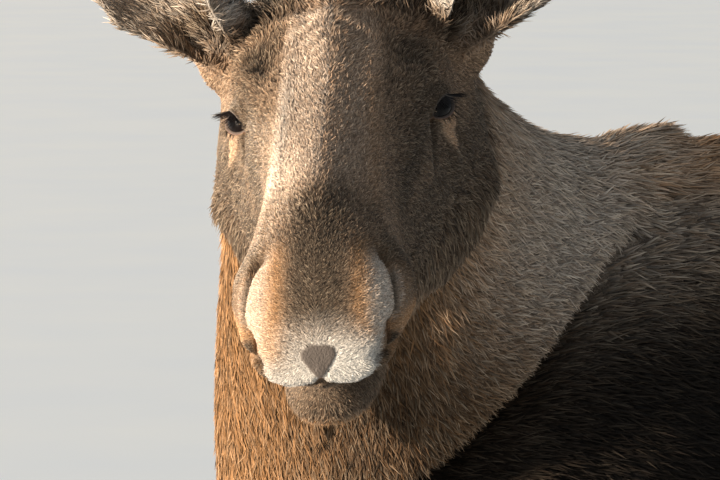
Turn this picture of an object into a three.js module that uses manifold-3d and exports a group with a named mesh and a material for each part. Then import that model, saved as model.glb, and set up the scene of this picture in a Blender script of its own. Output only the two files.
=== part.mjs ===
// A life-size cow moose, standing, with her head turned to her left.
// Millimetres, +Z up. The animal faces -Y and her left side is +X, so a part of the head or body is drawn
// in a frame whose nose points to -Y. Every size is taken to the tips of the coat.

import * as THREE from "three";
import { mergeVertices } from "three/addons/utils/BufferGeometryUtils.js";
import Module from "manifold-3d";

const wasm = await Module();
wasm.setup();

// ---- Driving sizes -------------------------------------------------------------------------------------

const CUT = 0.6; // width of the thin cuts that part the body
const SIDES = { left: 1, right: -1 };

const TRUNK_POINTS = 26; // points round one ring of each loft
const NECK_POINTS = 24;
const HEAD_POINTS = 24;
const JAW_POINTS = 18;
const LEG_POINTS = 12;
const CLAW_POINTS = 14;
const EAR_POINTS = 8; // along each face of the ear's curved section

// Where the head is carried: the point midway between the eyes, and how the head is turned there.
const HEAD_AT = new THREE.Vector3(396, -967, 1834);
const HEAD_YAW = 62; // to her left, in degrees
const HEAD_PITCH = 20.5; // nose down
const HEAD_ROLL = 5; // left side up

const EYE = { x: 86, y: -6, z: -2, radius: 21 }; // in the head's frame
const SOCKET_RADIUS = EYE.radius + 1;

const HOOF_HEIGHT = 72; // sole to coronet
// Where the slanting cut that parts each leg from the trunk passes: how high, and how far from the middle.
const LEG_CUT = {
  front: { level: 985, across: 150, ahead: 150, behind: 116 },
  rear: { level: 1040, across: 150, ahead: 190, behind: 300 },
};

// ---- Shape tools ---------------------------------------------------------------------------------------

const radians = THREE.MathUtils.degToRad;
const bell = (t) => Math.exp(-t * t);

// Value of one named size at a place along the stations, on a smooth curve through them.
function sizeAt(stations, name, at) {
  const last = stations.length - 1;
  if (at <= stations[0].at) return stations[0][name];
  if (at >= stations[last].at) return stations[last][name];
  const i = stations.findIndex((station) => station.at > at) - 1;
  const slope = (k) => {
    const before = stations[Math.max(k - 1, 0)];
    const after = stations[Math.min(k + 1, last)];
    return (after[name] - before[name]) / (after.at - before.at);
  };
  const [a, b] = [stations[i], stations[i + 1]];
  const width = b.at - a.at;
  const t = (at - a.at) / width;
  const rise = t * t * (3 - 2 * t);
  return (
    a[name] * (1 - rise) +
    b[name] * rise +
    width * t * (1 - t) * ((1 - t) * slope(i) - t * slope(i + 1))
  );
}

function sizesAt(stations, at) {
  const names = Object.keys(stations[0]);
  return Object.fromEntries(names.map((name) => [name, sizeAt(stations, name, at)]));
}

// Places along the stations, with a number of equal steps between each two.
function places(stations, steps) {
  const found = [];
  stations.slice(1).forEach((station, i) => {
    const from = stations[i].at;
    for (let k = 0; k < steps; k++) found.push(from + ((station.at - from) * k) / steps);
  });
  return [...found, stations.at(-1).at];
}

// One closed ring in a plane: half a superellipse above the middle and half below it.
function section({ wide, up, down, crown = 2, keel = 2 }, points) {
  const power = (v, n) => Math.sign(v) * Math.abs(v) ** (2 / n);
  return Array.from({ length: points }, (_, k) => {
    const turn = (2 * Math.PI * k) / points;
    const [c, s] = [Math.cos(turn), Math.sin(turn)];
    const n = s > 0 ? crown : keel;
    return [wide * power(c, n), (s > 0 ? up : down) * power(s, n)];
  });
}

// A closed mesh through rings of equal length, with a fan of triangles at each end.
function loft(rings) {
  const count = rings[0].length;
  const positions = rings.flat().flatMap((p) => [p.x, p.y, p.z]);
  const index = [];
  for (let i = 0; i + 1 < rings.length; i++)
    for (let k = 0; k < count; k++) {
      const [a, b] = [i * count + k, i * count + ((k + 1) % count)];
      index.push(a, b, b + count, a, b + count, a + count);
    }
  [0, rings.length - 1].forEach((i) => {
    const middle = rings[i].reduce((sum, p) => sum.add(p), new THREE.Vector3()).divideScalar(count);
    const tip = positions.length / 3;
    positions.push(middle.x, middle.y, middle.z);
    for (let k = 0; k < count; k++) {
      const [a, b] = [i * count + k, i * count + ((k + 1) % count)];
      index.push(...(i ? [a, b, tip] : [b, a, tip]));
    }
  });
  return facingOut(positions, index);
}

function facingOut(positions, index) {
  const at = (i) => new THREE.Vector3().fromArray(positions, 3 * i);
  let volume = 0;
  for (let i = 0; i < index.length; i += 3)
    volume += at(index[i]).dot(at(index[i + 1]).cross(at(index[i + 2])));
  if (volume < 0) index.reverse();
  const made = new THREE.BufferGeometry();
  made.setAttribute("position", new THREE.Float32BufferAttribute(positions, 3));
  made.setIndex(index);
  return made;
}

// A loft along Y, or along Z for a leg, from stations of named sizes.
function loftAlongY(stations, steps, points, shaped = (p) => p) {
  return loft(
    places(stations, steps).map((at) => {
      const s = sizesAt(stations, at);
      const ring = section({ ...s, up: s.top - s.middle, down: s.middle - s.bottom }, points);
      return ring.map(([u, v]) => shaped(new THREE.Vector3(u, at, s.middle + v)));
    }),
  );
}

// Pushes a point sideways, or upwards, where it lies near a centre: a muscle, a brow or a hollow.
function swell(p, { y, z, long, high, out = 0, rise = 0, from = 0 }) {
  const near = bell((p.y - y) / long) * bell((p.z - z) / high);
  const side = THREE.MathUtils.smoothstep(Math.abs(p.x), from, from + 40);
  p.x += Math.sign(p.x) * out * near * side;
  p.z += rise * near * side;
}

// ---- Solids, joins and cuts ----------------------------------------------------------------------------

function solid(geometry) {
  const bare = geometry.clone();
  bare.deleteAttribute("normal");
  bare.deleteAttribute("uv");
  const merged = mergeVertices(bare, 1e-3);
  return new wasm.Manifold(
    new wasm.Mesh({
      numProp: 3,
      vertProperties: merged.attributes.position.array,
      triVerts: new Uint32Array(merged.index.array),
    }),
  );
}

function geometryOf(made) {
  const mesh = made.getMesh();
  const geometry = new THREE.BufferGeometry();
  geometry.setAttribute("position", new THREE.BufferAttribute(mesh.vertProperties, 3));
  geometry.setIndex(new THREE.BufferAttribute(mesh.triVerts, 1));
  geometry.computeVertexNormals();
  return geometry;
}

const joined = (solids) => solids.reduce((sum, next) => sum.add(next));

// A block whose lower corner is at low and whose upper corner is at high, turned by a matrix.
function block(low, high, matrix = new THREE.Matrix4()) {
  const size = high.clone().sub(low);
  const geometry = new THREE.BoxGeometry(size.x, size.y, size.z);
  geometry.translate(...low.clone().add(high).divideScalar(2));
  return geometry.applyMatrix4(matrix);
}

// Parts a solid in two by a block: what lies in the block, and the rest, with a thin cut between them.
function parted(whole, low, high, matrix) {
  const margin = new THREE.Vector3(CUT, CUT, CUT);
  const inside = solid(block(low, high, matrix));
  const wider = solid(block(low.clone().sub(margin), high.clone().add(margin), matrix));
  return [whole.intersect(inside), whole.subtract(wider)];
}

// ---- Trunk ---------------------------------------------------------------------------------------------

const TRUNK = [
  { at: -868, top: 1352, middle: 1290, bottom: 1222, wide: 62, crown: 2, keel: 2 },
  { at: -838, top: 1456, middle: 1288, bottom: 1118, wide: 124, crown: 2, keel: 2 },
  { at: -760, top: 1572, middle: 1290, bottom: 1020, wide: 182, crown: 1.8, keel: 2 },
  { at: -650, top: 1656, middle: 1300, bottom: 966, wide: 222, crown: 1.65, keel: 2 },
  { at: -520, top: 1764, middle: 1300, bottom: 942, wide: 250, crown: 1.6, keel: 2 },
  { at: -400, top: 1786, middle: 1290, bottom: 932, wide: 266, crown: 1.62, keel: 2.1 },
  { at: -250, top: 1764, middle: 1275, bottom: 926, wide: 282, crown: 1.75, keel: 2.2 },
  { at: -80, top: 1704, middle: 1262, bottom: 928, wide: 298, crown: 1.95, keel: 2.2 },
  { at: 110, top: 1648, middle: 1258, bottom: 946, wide: 304, crown: 2.1, keel: 2.2 },
  { at: 290, top: 1626, middle: 1270, bottom: 988, wide: 288, crown: 2.1, keel: 2.1 },
  { at: 450, top: 1626, middle: 1300, bottom: 1050, wide: 262, crown: 2, keel: 2 },
  { at: 600, top: 1594, middle: 1330, bottom: 1098, wide: 236, crown: 2, keel: 2 },
  { at: 720, top: 1534, middle: 1335, bottom: 1136, wide: 198, crown: 2, keel: 2 },
  { at: 806, top: 1460, middle: 1328, bottom: 1190, wide: 142, crown: 2, keel: 2 },
  { at: 842, top: 1388, middle: 1322, bottom: 1256, wide: 66, crown: 2, keel: 2 },
];

function shapeTrunk(p) {
  swell(p, { y: -590, z: 1330, long: 140, high: 250, out: 28, from: 110 }); // shoulder
  swell(p, { y: -770, z: 1220, long: 80, high: 110, out: 26, from: 50 }); // point of the shoulder
  swell(p, { y: -395, z: 1380, long: 45, high: 230, out: -10, from: 120 }); // behind the shoulder
  swell(p, { y: 540, z: 1230, long: 180, high: 190, out: 34, from: 80 }); // haunch
  swell(p, { y: 300, z: 1430, long: 90, high: 110, out: -18, from: 120 }); // hollow of the flank
  swell(p, { y: 400, z: 1560, long: 60, high: 60, out: 16, from: 60 }); // point of the hip
  return p;
}

// ---- Neck ----------------------------------------------------------------------------------------------

// Each ring hangs between a place on the crest and a place on the throat: side, front and height of both,
// with the way the ring faces, its half width and how far down from the crest that width comes.
const ring = (at, [tx, ty, tz], [bx, by, bz], sizes) => ({ at, tx, ty, tz, bx, by, bz, ...sizes });
const NECK = [
  ring(0, [0, -396, 1734], [0, -560, 1060], { yaw: 0, wide: 190, belly: 0.5, crown: 1.8, keel: 2 }),
  ring(1, [0, -500, 1772], [0, -790, 1150], { yaw: 3, wide: 196, belly: 0.5, crown: 1.8, keel: 2.1 }),
  ring(2, [60, -600, 1794], [44, -872, 1318], { yaw: 18, wide: 178, belly: 0.54, crown: 1.8, keel: 2.3 }),
  ring(3, [142, -706, 1838], [112, -892, 1452], { yaw: 33, wide: 155, belly: 0.56, crown: 1.85, keel: 2.5 }),
  ring(4, [216, -806, 1886], [184, -890, 1566], { yaw: 45, wide: 146, belly: 0.56, crown: 1.95, keel: 2.4 }),
  ring(5, [276, -880, 1932], [240, -880, 1664], { yaw: 56, wide: 130, belly: 0.52, crown: 2, keel: 2.2 }),
  ring(5.7, [304, -905, 1910], [282, -890, 1700], { yaw: 60, wide: 96, belly: 0.5, crown: 2, keel: 2 }),
];

// The neck is what lies ahead of a plane from the front of the withers to the breast. There it stands out
// over the shoulder in a low step.
const NECK_CUT = { y: -706, z: 1521, lean: -50, ahead: 900, across: 500, under: 600, over: 700 };
const NECK_BLOCK = [
  new THREE.Vector3(-NECK_CUT.across, -NECK_CUT.ahead, -NECK_CUT.under),
  new THREE.Vector3(NECK_CUT.across, 0, NECK_CUT.over),
  new THREE.Matrix4()
    .makeTranslation(0, NECK_CUT.y, NECK_CUT.z)
    .multiply(new THREE.Matrix4().makeRotationX(radians(NECK_CUT.lean))),
];

function neckGeometry() {
  return loft(
    places(NECK, 2).map((at) => {
      const s = sizesAt(NECK, at);
      const crest = new THREE.Vector3(s.tx, s.ty, s.tz);
      const throat = new THREE.Vector3(s.bx, s.by, s.bz);
      const across = new THREE.Vector3(Math.cos(radians(s.yaw)), Math.sin(radians(s.yaw)), 0);
      const height = crest.distanceTo(throat);
      const upwards = crest.clone().sub(throat).normalize();
      const middle = crest.clone().lerp(throat, s.belly);
      const outline = section({ ...s, up: height * s.belly, down: height * (1 - s.belly) }, NECK_POINTS);
      return outline.map(([u, v]) => middle.clone().addScaledVector(across, u).addScaledVector(upwards, v));
    }),
  );
}

// ---- Head, drawn about the point between the eyes with the nose to -Y ------------------------------------

const FACE = [
  { at: -450, top: -38, middle: -53, bottom: -66, wide: 30, crown: 2.3, keel: 2.2 },
  { at: -446, top: -24, middle: -49, bottom: -70, wide: 48, crown: 2.6, keel: 2.3 },
  { at: -434, top: -6, middle: -43, bottom: -75, wide: 60, crown: 2.9, keel: 2.4 },
  { at: -411, top: 15, middle: -36, bottom: -80, wide: 69, crown: 3, keel: 2.4 },
  { at: -378, top: 34, middle: -28, bottom: -86, wide: 71, crown: 2.6, keel: 2.4 },
  { at: -338, top: 45, middle: -24, bottom: -97, wide: 72, crown: 2.5, keel: 2.3 },
  { at: -296, top: 48, middle: -30, bottom: -128, wide: 70, crown: 2.4, keel: 2.1 },
  { at: -250, top: 48, middle: -38, bottom: -151, wide: 69, crown: 2.5, keel: 2.1 },
  { at: -190, top: 48, middle: -46, bottom: -168, wide: 73, crown: 2.6, keel: 2.1 },
  { at: -120, top: 53, middle: -52, bottom: -188, wide: 85, crown: 2.6, keel: 2.1 },
  { at: -55, top: 61, middle: -54, bottom: -209, wide: 98, crown: 2.5, keel: 2.1 },
  { at: 5, top: 71, middle: -54, bottom: -229, wide: 110, crown: 2.4, keel: 2.2 },
  { at: 60, top: 80, middle: -58, bottom: -240, wide: 121, crown: 2.4, keel: 2.2 },
  { at: 112, top: 86, middle: -60, bottom: -226, wide: 124, crown: 2.7, keel: 2.1 },
  { at: 155, top: 68, middle: -60, bottom: -186, wide: 106, crown: 2.4, keel: 2 },
  { at: 182, top: 22, middle: -56, bottom: -132, wide: 64, crown: 2, keel: 2 },
];

const JAW = [
  { at: -416, top: -90, middle: -102, bottom: -114, wide: 18, crown: 2, keel: 2 },
  { at: -407, top: -82, middle: -104, bottom: -126, wide: 31, crown: 2.1, keel: 2.1 },
  { at: -380, top: -76, middle: -107, bottom: -137, wide: 40, crown: 2.1, keel: 2.1 },
  { at: -330, top: -74, middle: -107, bottom: -143, wide: 47, crown: 2.1, keel: 2 },
  { at: -272, top: -70, middle: -102, bottom: -140, wide: 46, crown: 2.2, keel: 2 },
  { at: -240, top: -80, middle: -100, bottom: -122, wide: 26, crown: 2, keel: 2 },
];

// The upper half of the muzzle lies a little to her left of the middle of the head.
const MUZZLE_LEAN = { x: 4, y: -375, z: 30, long: 70, high: 70 };

function shapeFace(p) {
  swell(p, { y: 4, z: 30, long: 34, high: 20, out: 7, rise: 4, from: 40 }); // brow
  swell(p, { y: -44, z: -34, long: 26, high: 30, out: -7, from: 30 }); // before the eye
  swell(p, { y: -354, z: -16, long: 38, high: 30, out: 15, from: 20 }); // wing of the nostril
  swell(p, { y: 30, z: -112, long: 78, high: 64, out: 24, from: 20 }); // cheek
  const { x, y, z, long, high } = MUZZLE_LEAN;
  p.x += x * bell((p.y - y) / long) * bell(Math.min(0, p.z - z) / high);
  return p;
}

// Each nostril is a slanting hollow in the side of the muzzle.
const NOSTRIL = { x: 60, y: -430, z: -36, deep: 12, long: 25, high: 8, slope: 50, toe: 34 };

const EYE_POINTS = 12;
const NOSTRIL_POINTS = 10;

// An ellipsoid of three radii, turned, at a place on one side of the head.
function ball(radii, points, side, { x, y, z }, turn = new THREE.Euler()) {
  const geometry = new THREE.SphereGeometry(1, points, Math.round(points * 0.6));
  geometry.scale(...radii);
  geometry.applyMatrix4(new THREE.Matrix4().makeRotationFromEuler(turn));
  return geometry.translate(side * x, y, z);
}

function headSolid(matrix) {
  const face = solid(loftAlongY(FACE, 2, HEAD_POINTS, shapeFace).applyMatrix4(matrix));
  const jaw = solid(loftAlongY(JAW, 1, JAW_POINTS).applyMatrix4(matrix));
  let head = face.add(jaw);
  for (const side of Object.values(SIDES)) {
    const socket = ball(Array(3).fill(SOCKET_RADIUS), EYE_POINTS, side, EYE);
    const turn = new THREE.Euler(radians(NOSTRIL.slope), 0, radians(-side * NOSTRIL.toe), "ZXY");
    const hole = ball([NOSTRIL.deep, NOSTRIL.long, NOSTRIL.high], NOSTRIL_POINTS, side, NOSTRIL, turn);
    const lean = new THREE.Euler(0, radians(side * EAR_ROOT.lean), 0);
    const root = ball(EAR_ROOT.radii, EAR_ROOT_POINTS, side, EAR_ROOT, lean);
    head = head.add(solid(root.applyMatrix4(matrix)));
    head = head.subtract(solid(socket.applyMatrix4(matrix)));
    head = head.subtract(solid(hole.applyMatrix4(matrix)));
  }
  return head;
}

// ---- Ears ----------------------------------------------------------------------------------------------

// Along the ear: how far it has come, its rolled section's radius and how much of the circle it holds.
const EAR = [
  { at: -36, radius: 28, hold: 150, thick: 10 },
  { at: 0, radius: 33, hold: 150, thick: 10 },
  { at: 42, radius: 42, hold: 126, thick: 10 },
  { at: 90, radius: 64, hold: 86, thick: 9 },
  { at: 135, radius: 71, hold: 72, thick: 8.5 },
  { at: 180, radius: 64, hold: 62, thick: 8 },
  { at: 220, radius: 47, hold: 52, thick: 7 },
  { at: 246, radius: 27, hold: 44, thick: 6 },
  { at: 260, radius: 10, hold: 38, thick: 5 },
];
const EAR_BASE = { x: 98, y: 120, z: 36 };
// The furred bulge that each ear stands on: its middle, its radii and how far it leans outwards.
const EAR_ROOT = { x: 104, y: 116, z: 14, radii: [44, 40, 62], lean: 28 };
const EAR_ROOT_POINTS = 10;
// How far the ear leans to the side from upright, how far back, and how far its opening turns outwards.
const EAR_LEAN = { out: 41, back: 10, open: 12 };
const EAR_CURVE = 30; // how far its tip bends inwards again

function earMatrix(side) {
  const { out, back, open } = EAR_LEAN;
  const turn = new THREE.Euler(radians(-back), radians(side * out), radians(side * open), "YXZ");
  const { x, y, z } = EAR_BASE;
  return new THREE.Matrix4().makeRotationFromEuler(turn).setPosition(side * x, y, z);
}

function earGeometry(side) {
  const length = EAR.at(-1).at;
  const rings = places(EAR, 1).map((at) => {
    const { radius, hold, thick } = sizesAt(EAR, at);
    const arc = (r, from, to) =>
      Array.from({ length: EAR_POINTS }, (_, k) => {
        const a = radians(from + ((to - from) * k) / (EAR_POINTS - 1));
        return [r * Math.sin(a), r * Math.cos(a)];
      });
    const ring = [...arc(radius, -hold, hold), ...arc(radius - thick, hold, -hold)];
    const along = at / length;
    return ring.map(([u, v]) => new THREE.Vector3(u - side * EAR_CURVE * along * along, v - radius, at));
  });
  return loft(rings).applyMatrix4(earMatrix(side));
}

// ---- Legs ----------------------------------------------------------------------------------------------

// Sections of a leg, level with the floor, from the coronet up: "wide" across, "deep" from front to back.
const FRONT_LEG = [
  { at: HOOF_HEIGHT, x: 142, y: -520, wide: 44, deep: 46 },
  { at: 100, x: 142, y: -510, wide: 41, deep: 41 },
  { at: 140, x: 142, y: -494, wide: 36, deep: 37 },
  { at: 180, x: 142, y: -482, wide: 39, deep: 44 },
  { at: 222, x: 143, y: -478, wide: 33, deep: 37 },
  { at: 320, x: 145, y: -480, wide: 29, deep: 34 },
  { at: 430, x: 147, y: -484, wide: 34, deep: 38 },
  { at: 486, x: 149, y: -489, wide: 44, deep: 49 },
  { at: 542, x: 151, y: -487, wide: 46, deep: 52 },
  { at: 620, x: 155, y: -478, wide: 43, deep: 50 },
  { at: 740, x: 162, y: -472, wide: 50, deep: 63 },
  { at: 860, x: 170, y: -470, wide: 60, deep: 84 },
  { at: 960, x: 177, y: -484, wide: 72, deep: 118 },
  { at: 1060, x: 176, y: -504, wide: 78, deep: 152 },
  { at: 1180, x: 162, y: -524, wide: 80, deep: 180 },
  { at: 1300, x: 140, y: -530, wide: 76, deep: 186 },
  { at: 1400, x: 116, y: -528, wide: 60, deep: 140 },
];
const REAR_LEG = [
  { at: HOOF_HEIGHT, x: 148, y: 590, wide: 44, deep: 46 },
  { at: 100, x: 148, y: 600, wide: 41, deep: 41 },
  { at: 140, x: 148, y: 615, wide: 37, deep: 38 },
  { at: 180, x: 148, y: 629, wide: 39, deep: 45 },
  { at: 225, x: 149, y: 635, wide: 34, deep: 39 },
  { at: 330, x: 151, y: 645, wide: 30, deep: 35 },
  { at: 450, x: 154, y: 657, wide: 32, deep: 37 },
  { at: 560, x: 156, y: 666, wide: 37, deep: 46 },
  { at: 640, x: 158, y: 671, wide: 44, deep: 60 },
  { at: 705, x: 160, y: 663, wide: 44, deep: 68 },
  { at: 765, x: 163, y: 632, wide: 46, deep: 66 },
  { at: 860, x: 168, y: 575, wide: 62, deep: 88 },
  { at: 960, x: 173, y: 526, wide: 83, deep: 140 },
  { at: 1060, x: 170, y: 512, wide: 96, deep: 192 },
  { at: 1180, x: 156, y: 526, wide: 106, deep: 232 },
  { at: 1310, x: 132, y: 560, wide: 104, deep: 240 },
  { at: 1420, x: 104, y: 580, wide: 92, deep: 190 },
];

// How far each hoof stands ahead of, or behind, the place under its joint.
const LEGS = {
  front_left: { stations: FRONT_LEG, side: 1, step: -46, ...LEG_CUT.front },
  front_right: { stations: FRONT_LEG, side: -1, step: 26, ...LEG_CUT.front },
  rear_left: { stations: REAR_LEG, side: 1, step: 62, ...LEG_CUT.rear },
  rear_right: { stations: REAR_LEG, side: -1, step: -58, ...LEG_CUT.rear },
};

const swing = ({ step, level }, z) => step * Math.max(0, 1 - z / level);

function legGeometry(leg) {
  return loft(
    leg.stations.map(({ at, x, y, wide, deep }) => {
      const ring = section({ wide, up: deep, down: deep, crown: 2.1, keel: 2.1 }, LEG_POINTS);
      return ring.map(([u, v]) => new THREE.Vector3(leg.side * x + u, y + v + swing(leg, at), at));
    }),
  );
}

// A foot is two claws side by side, each a blunt wedge with its flat sole on the floor.
const CLAW = { length: 140, width: 50, toe: 0.45, gap: 5, ahead: 12, upright: 0.1 };
const CLAW_LEVELS = [
  { z: 0, grow: 1, back: 0 },
  { z: 20, grow: 0.97, back: 4 },
  { z: HOOF_HEIGHT - CUT, grow: 0.68, back: 26 },
];

function clawGeometry(leg, inner) {
  const coronet = leg.stations[0];
  const across = leg.side * coronet.x + inner * (CLAW.width / 2 + CLAW.gap / 2);
  const middle = coronet.y + swing(leg, 0) - CLAW.ahead;
  const outline = Array.from({ length: CLAW_POINTS }, (_, k) => {
    const turn = (2 * Math.PI * k) / CLAW_POINTS;
    const along = Math.cos(turn);
    const narrow = along < 0 ? 1 - CLAW.toe * along * along : 1;
    return [(Math.sin(turn) * narrow * CLAW.width) / 2, (along * CLAW.length) / 2];
  });
  return loft(
    CLAW_LEVELS.map(({ z, grow, back }) =>
      outline.map(([u, v]) => {
        const wide = THREE.MathUtils.lerp(grow, 1, CLAW.upright);
        return new THREE.Vector3(across + u * wide, middle + v * grow + back, z);
      }),
    ),
  );
}

const DEWCLAW = { z: 128, radius: 15, tip: 7, long: 54, apart: 21, behind: 42, slope: 62 };
const DEWCLAW_POINTS = 10;

// A dewclaw, or with some room round it the pocket that it sits in.
function dewclawGeometry(leg, inner, room = 0) {
  const pastern = sizesAt(leg.stations, DEWCLAW.z);
  const [tip, root] = [DEWCLAW.tip + room, DEWCLAW.radius + room];
  const cone = new THREE.CylinderGeometry(tip, root, DEWCLAW.long + 2 * room, DEWCLAW_POINTS);
  cone.rotateX(radians(-DEWCLAW.slope));
  return cone.translate(
    leg.side * pastern.x + inner * DEWCLAW.apart,
    pastern.y + swing(leg, DEWCLAW.z) + DEWCLAW.behind,
    DEWCLAW.z,
  );
}

// ---- Tail and bell --------------------------------------------------------------------------------------

const TAIL = [
  { at: 0, y: 740, z: 1470, wide: 40, deep: 30 },
  { at: 1, y: 822, z: 1448, wide: 38, deep: 27 },
  { at: 2, y: 864, z: 1394, wide: 34, deep: 22 },
  { at: 3, y: 874, z: 1328, wide: 26, deep: 16 },
  { at: 4, y: 872, z: 1276, wide: 9, deep: 7 },
];

const TAIL_LEAN = { root: 130, turn: 15 }; // how its sections lean at the root, and turn along it
const HANGING_POINTS = 12;

function tailGeometry() {
  return loft(
    TAIL.map(({ at, y, z, wide, deep }) => {
      const lean = radians(TAIL_LEAN.root - TAIL_LEAN.turn * at);
      return section({ wide, up: deep, down: deep }, HANGING_POINTS).map(
        ([u, v]) => new THREE.Vector3(u, y + v * Math.sin(lean), z - v * Math.cos(lean)),
      );
    }),
  );
}

// The bell, a small dewlap, leaves the throat and hangs plumb.
const BELL = [
  { x: 262, y: -866, z: 1735, wide: 30, deep: 40 },
  { x: 238, y: -886, z: 1648, wide: 32, deep: 46 },
  { x: 224, y: -899, z: 1570, wide: 27, deep: 38 },
  { x: 219, y: -904, z: 1506, wide: 17, deep: 23 },
  { x: 218, y: -905, z: 1476, wide: 7, deep: 8 },
];
const BELL_YAW = 52;

function bellGeometry() {
  const up = new THREE.Vector3(0, 0, 1);
  return loft(
    BELL.map(({ x, y, z, wide, deep }) => {
      const middle = new THREE.Vector3(x, y, z);
      return section({ wide, up: deep, down: deep }, HANGING_POINTS).map(([u, v]) =>
        new THREE.Vector3(u, v, 0).applyAxisAngle(up, radians(BELL_YAW)).add(middle),
      );
    }),
  );
}

// ---- Materials -------------------------------------------------------------------------------------------

const finish = (color, roughness) => new THREE.MeshStandardMaterial({ color, roughness, metalness: 0 });
const MATERIALS = {
  coat: finish(0x3b2f28, 0.9),
  neck_coat: finish(0x5d4b3e, 0.9),
  head_coat: finish(0x6a5444, 0.9),
  ear_coat: finish(0x75675a, 0.9),
  leg_coat: finish(0x857a6f, 0.9),
  horn: finish(0x2b2623, 0.55),
  eye: finish(0x1c120c, 0.08),
};

// ---- Assembly ------------------------------------------------------------------------------------------

const moose = new THREE.Group();

function place(name, geometry, material) {
  const mesh = new THREE.Mesh(geometry, MATERIALS[material].clone());
  mesh.name = name;
  moose.add(mesh);
  return mesh;
}

const headMatrix = new THREE.Matrix4()
  .makeRotationFromEuler(new THREE.Euler(radians(HEAD_PITCH), radians(-HEAD_ROLL), radians(HEAD_YAW), "ZXY"))
  .setPosition(HEAD_AT);

const legs = Object.entries(LEGS);
let rest = joined([
  solid(loftAlongY(TRUNK, 1, TRUNK_POINTS, shapeTrunk)),
  solid(neckGeometry()).intersect(solid(block(...NECK_BLOCK))),
  solid(bellGeometry()),
  solid(tailGeometry()),
  headSolid(headMatrix),
  ...Object.values(SIDES).map((side) => solid(earGeometry(side).applyMatrix4(headMatrix))),
  ...legs.map(([, leg]) => solid(legGeometry(leg))),
]);

// Takes the piece that lies in a block out of what is left of the body.
function take(name, material, low, high, matrix) {
  const [piece, remains] = parted(rest, low, high, matrix);
  rest = remains;
  return place(name, geometryOf(piece), material);
}

const EAR_ROOM = { low: 46, high: 400, across: 130 }; // each ear is parted a little way up its root
for (const [word, side] of Object.entries(SIDES))
  take(
    "ear_" + word,
    "ear_coat",
    new THREE.Vector3(-EAR_ROOM.across, -EAR_ROOM.across, EAR_ROOM.low),
    new THREE.Vector3(EAR_ROOM.across, EAR_ROOM.across, EAR_ROOM.high),
    headMatrix.clone().multiply(earMatrix(side)),
  );

// The head is what lies ahead of a plane behind the ears and the angle of the jaw.
const HEAD_CUT = { y: 148, lean: -12, ahead: 700, across: 300, under: 264, over: 400 };
take(
  "head",
  "head_coat",
  new THREE.Vector3(-HEAD_CUT.across, -HEAD_CUT.ahead, -HEAD_CUT.under),
  new THREE.Vector3(HEAD_CUT.across, 0, HEAD_CUT.over),
  headMatrix
    .clone()
    .multiply(new THREE.Matrix4().makeTranslation(0, HEAD_CUT.y, 0))
    .multiply(new THREE.Matrix4().makeRotationX(radians(HEAD_CUT.lean))),
);

take("neck", "neck_coat", ...NECK_BLOCK);

// The tail is what hangs clear of the rump.
const TAIL_ROOM = { wide: 60, front: 846, back: 1000, low: 1200, high: 1500 };
take(
  "tail",
  "coat",
  new THREE.Vector3(-TAIL_ROOM.wide, TAIL_ROOM.front, TAIL_ROOM.low),
  new THREE.Vector3(TAIL_ROOM.wide, TAIL_ROOM.back, TAIL_ROOM.high),
);

// Each leg is what lies under a plane that rises from the belly's keel to the outside.
const LEG_ROOM = { low: -1500, inner: 12, outer: 420 };
const LEG_RISE = Math.tan(radians(40));
for (const [name, leg] of legs) {
  const x = [LEG_ROOM.inner * leg.side, LEG_ROOM.outer * leg.side].sort((a, b) => a - b);
  const y = sizeAt(leg.stations, "y", leg.level);
  const slant = new THREE.Matrix4().set(1, 0, 0, 0, 0, 1, 0, y, LEG_RISE * leg.side, 0, 1, 0, 0, 0, 0, 1);
  for (const inner of [1, -1]) rest = rest.subtract(solid(dewclawGeometry(leg, inner, CUT)));
  take(
    "leg_" + name,
    "leg_coat",
    new THREE.Vector3(x[0], -leg.ahead, LEG_ROOM.low),
    new THREE.Vector3(x[1], leg.behind, leg.level - LEG_RISE * leg.across),
    slant,
  );
  for (const [word, inner] of [
    ["left", 1],
    ["right", -1],
  ]) {
    place("hoof_" + name + "_" + word, clawGeometry(leg, inner), "horn");
    place("dewclaw_" + name + "_" + word, dewclawGeometry(leg, inner), "horn");
  }
}

place("trunk", geometryOf(rest), "coat");
const eyeRadii = Array(3).fill(EYE.radius);
for (const [word, side] of Object.entries(SIDES))
  place("eye_" + word, ball(eyeRadii, EYE_POINTS, side, EYE).applyMatrix4(headMatrix), "eye");

// The frame's origin is on the floor, under the middle of the whole animal.
const extent = new THREE.Box3().setFromObject(moose);
const centre = extent.getCenter(new THREE.Vector3());
moose.position.set(-centre.x, -centre.y, -extent.min.z);

export default moose;
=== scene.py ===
import math

import bmesh
import bpy
import numpy as np
from mathutils import Matrix, Vector
from mathutils.bvhtree import BVHTree


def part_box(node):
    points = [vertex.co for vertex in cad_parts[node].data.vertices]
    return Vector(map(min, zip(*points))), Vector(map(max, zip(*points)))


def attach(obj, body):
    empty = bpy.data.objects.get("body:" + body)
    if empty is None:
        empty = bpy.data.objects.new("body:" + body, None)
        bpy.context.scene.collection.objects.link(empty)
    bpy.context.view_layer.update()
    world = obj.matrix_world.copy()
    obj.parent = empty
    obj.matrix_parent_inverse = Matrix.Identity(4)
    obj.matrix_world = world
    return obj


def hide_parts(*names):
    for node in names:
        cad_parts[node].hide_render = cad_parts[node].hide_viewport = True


# The looks of a life-size cow moose in winter coat. One skin covers the solids of flesh, inset by the
# depth of the coat, and the coat over it is made of closed locks of hair. Metres, +Z up; the animal
# faces -Y. A size or place on the head is in millimetres in the head's own frame: the origin is midway
# between the eyes, the nose is at -Y, her left at +X and her brow at +Z.

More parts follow.
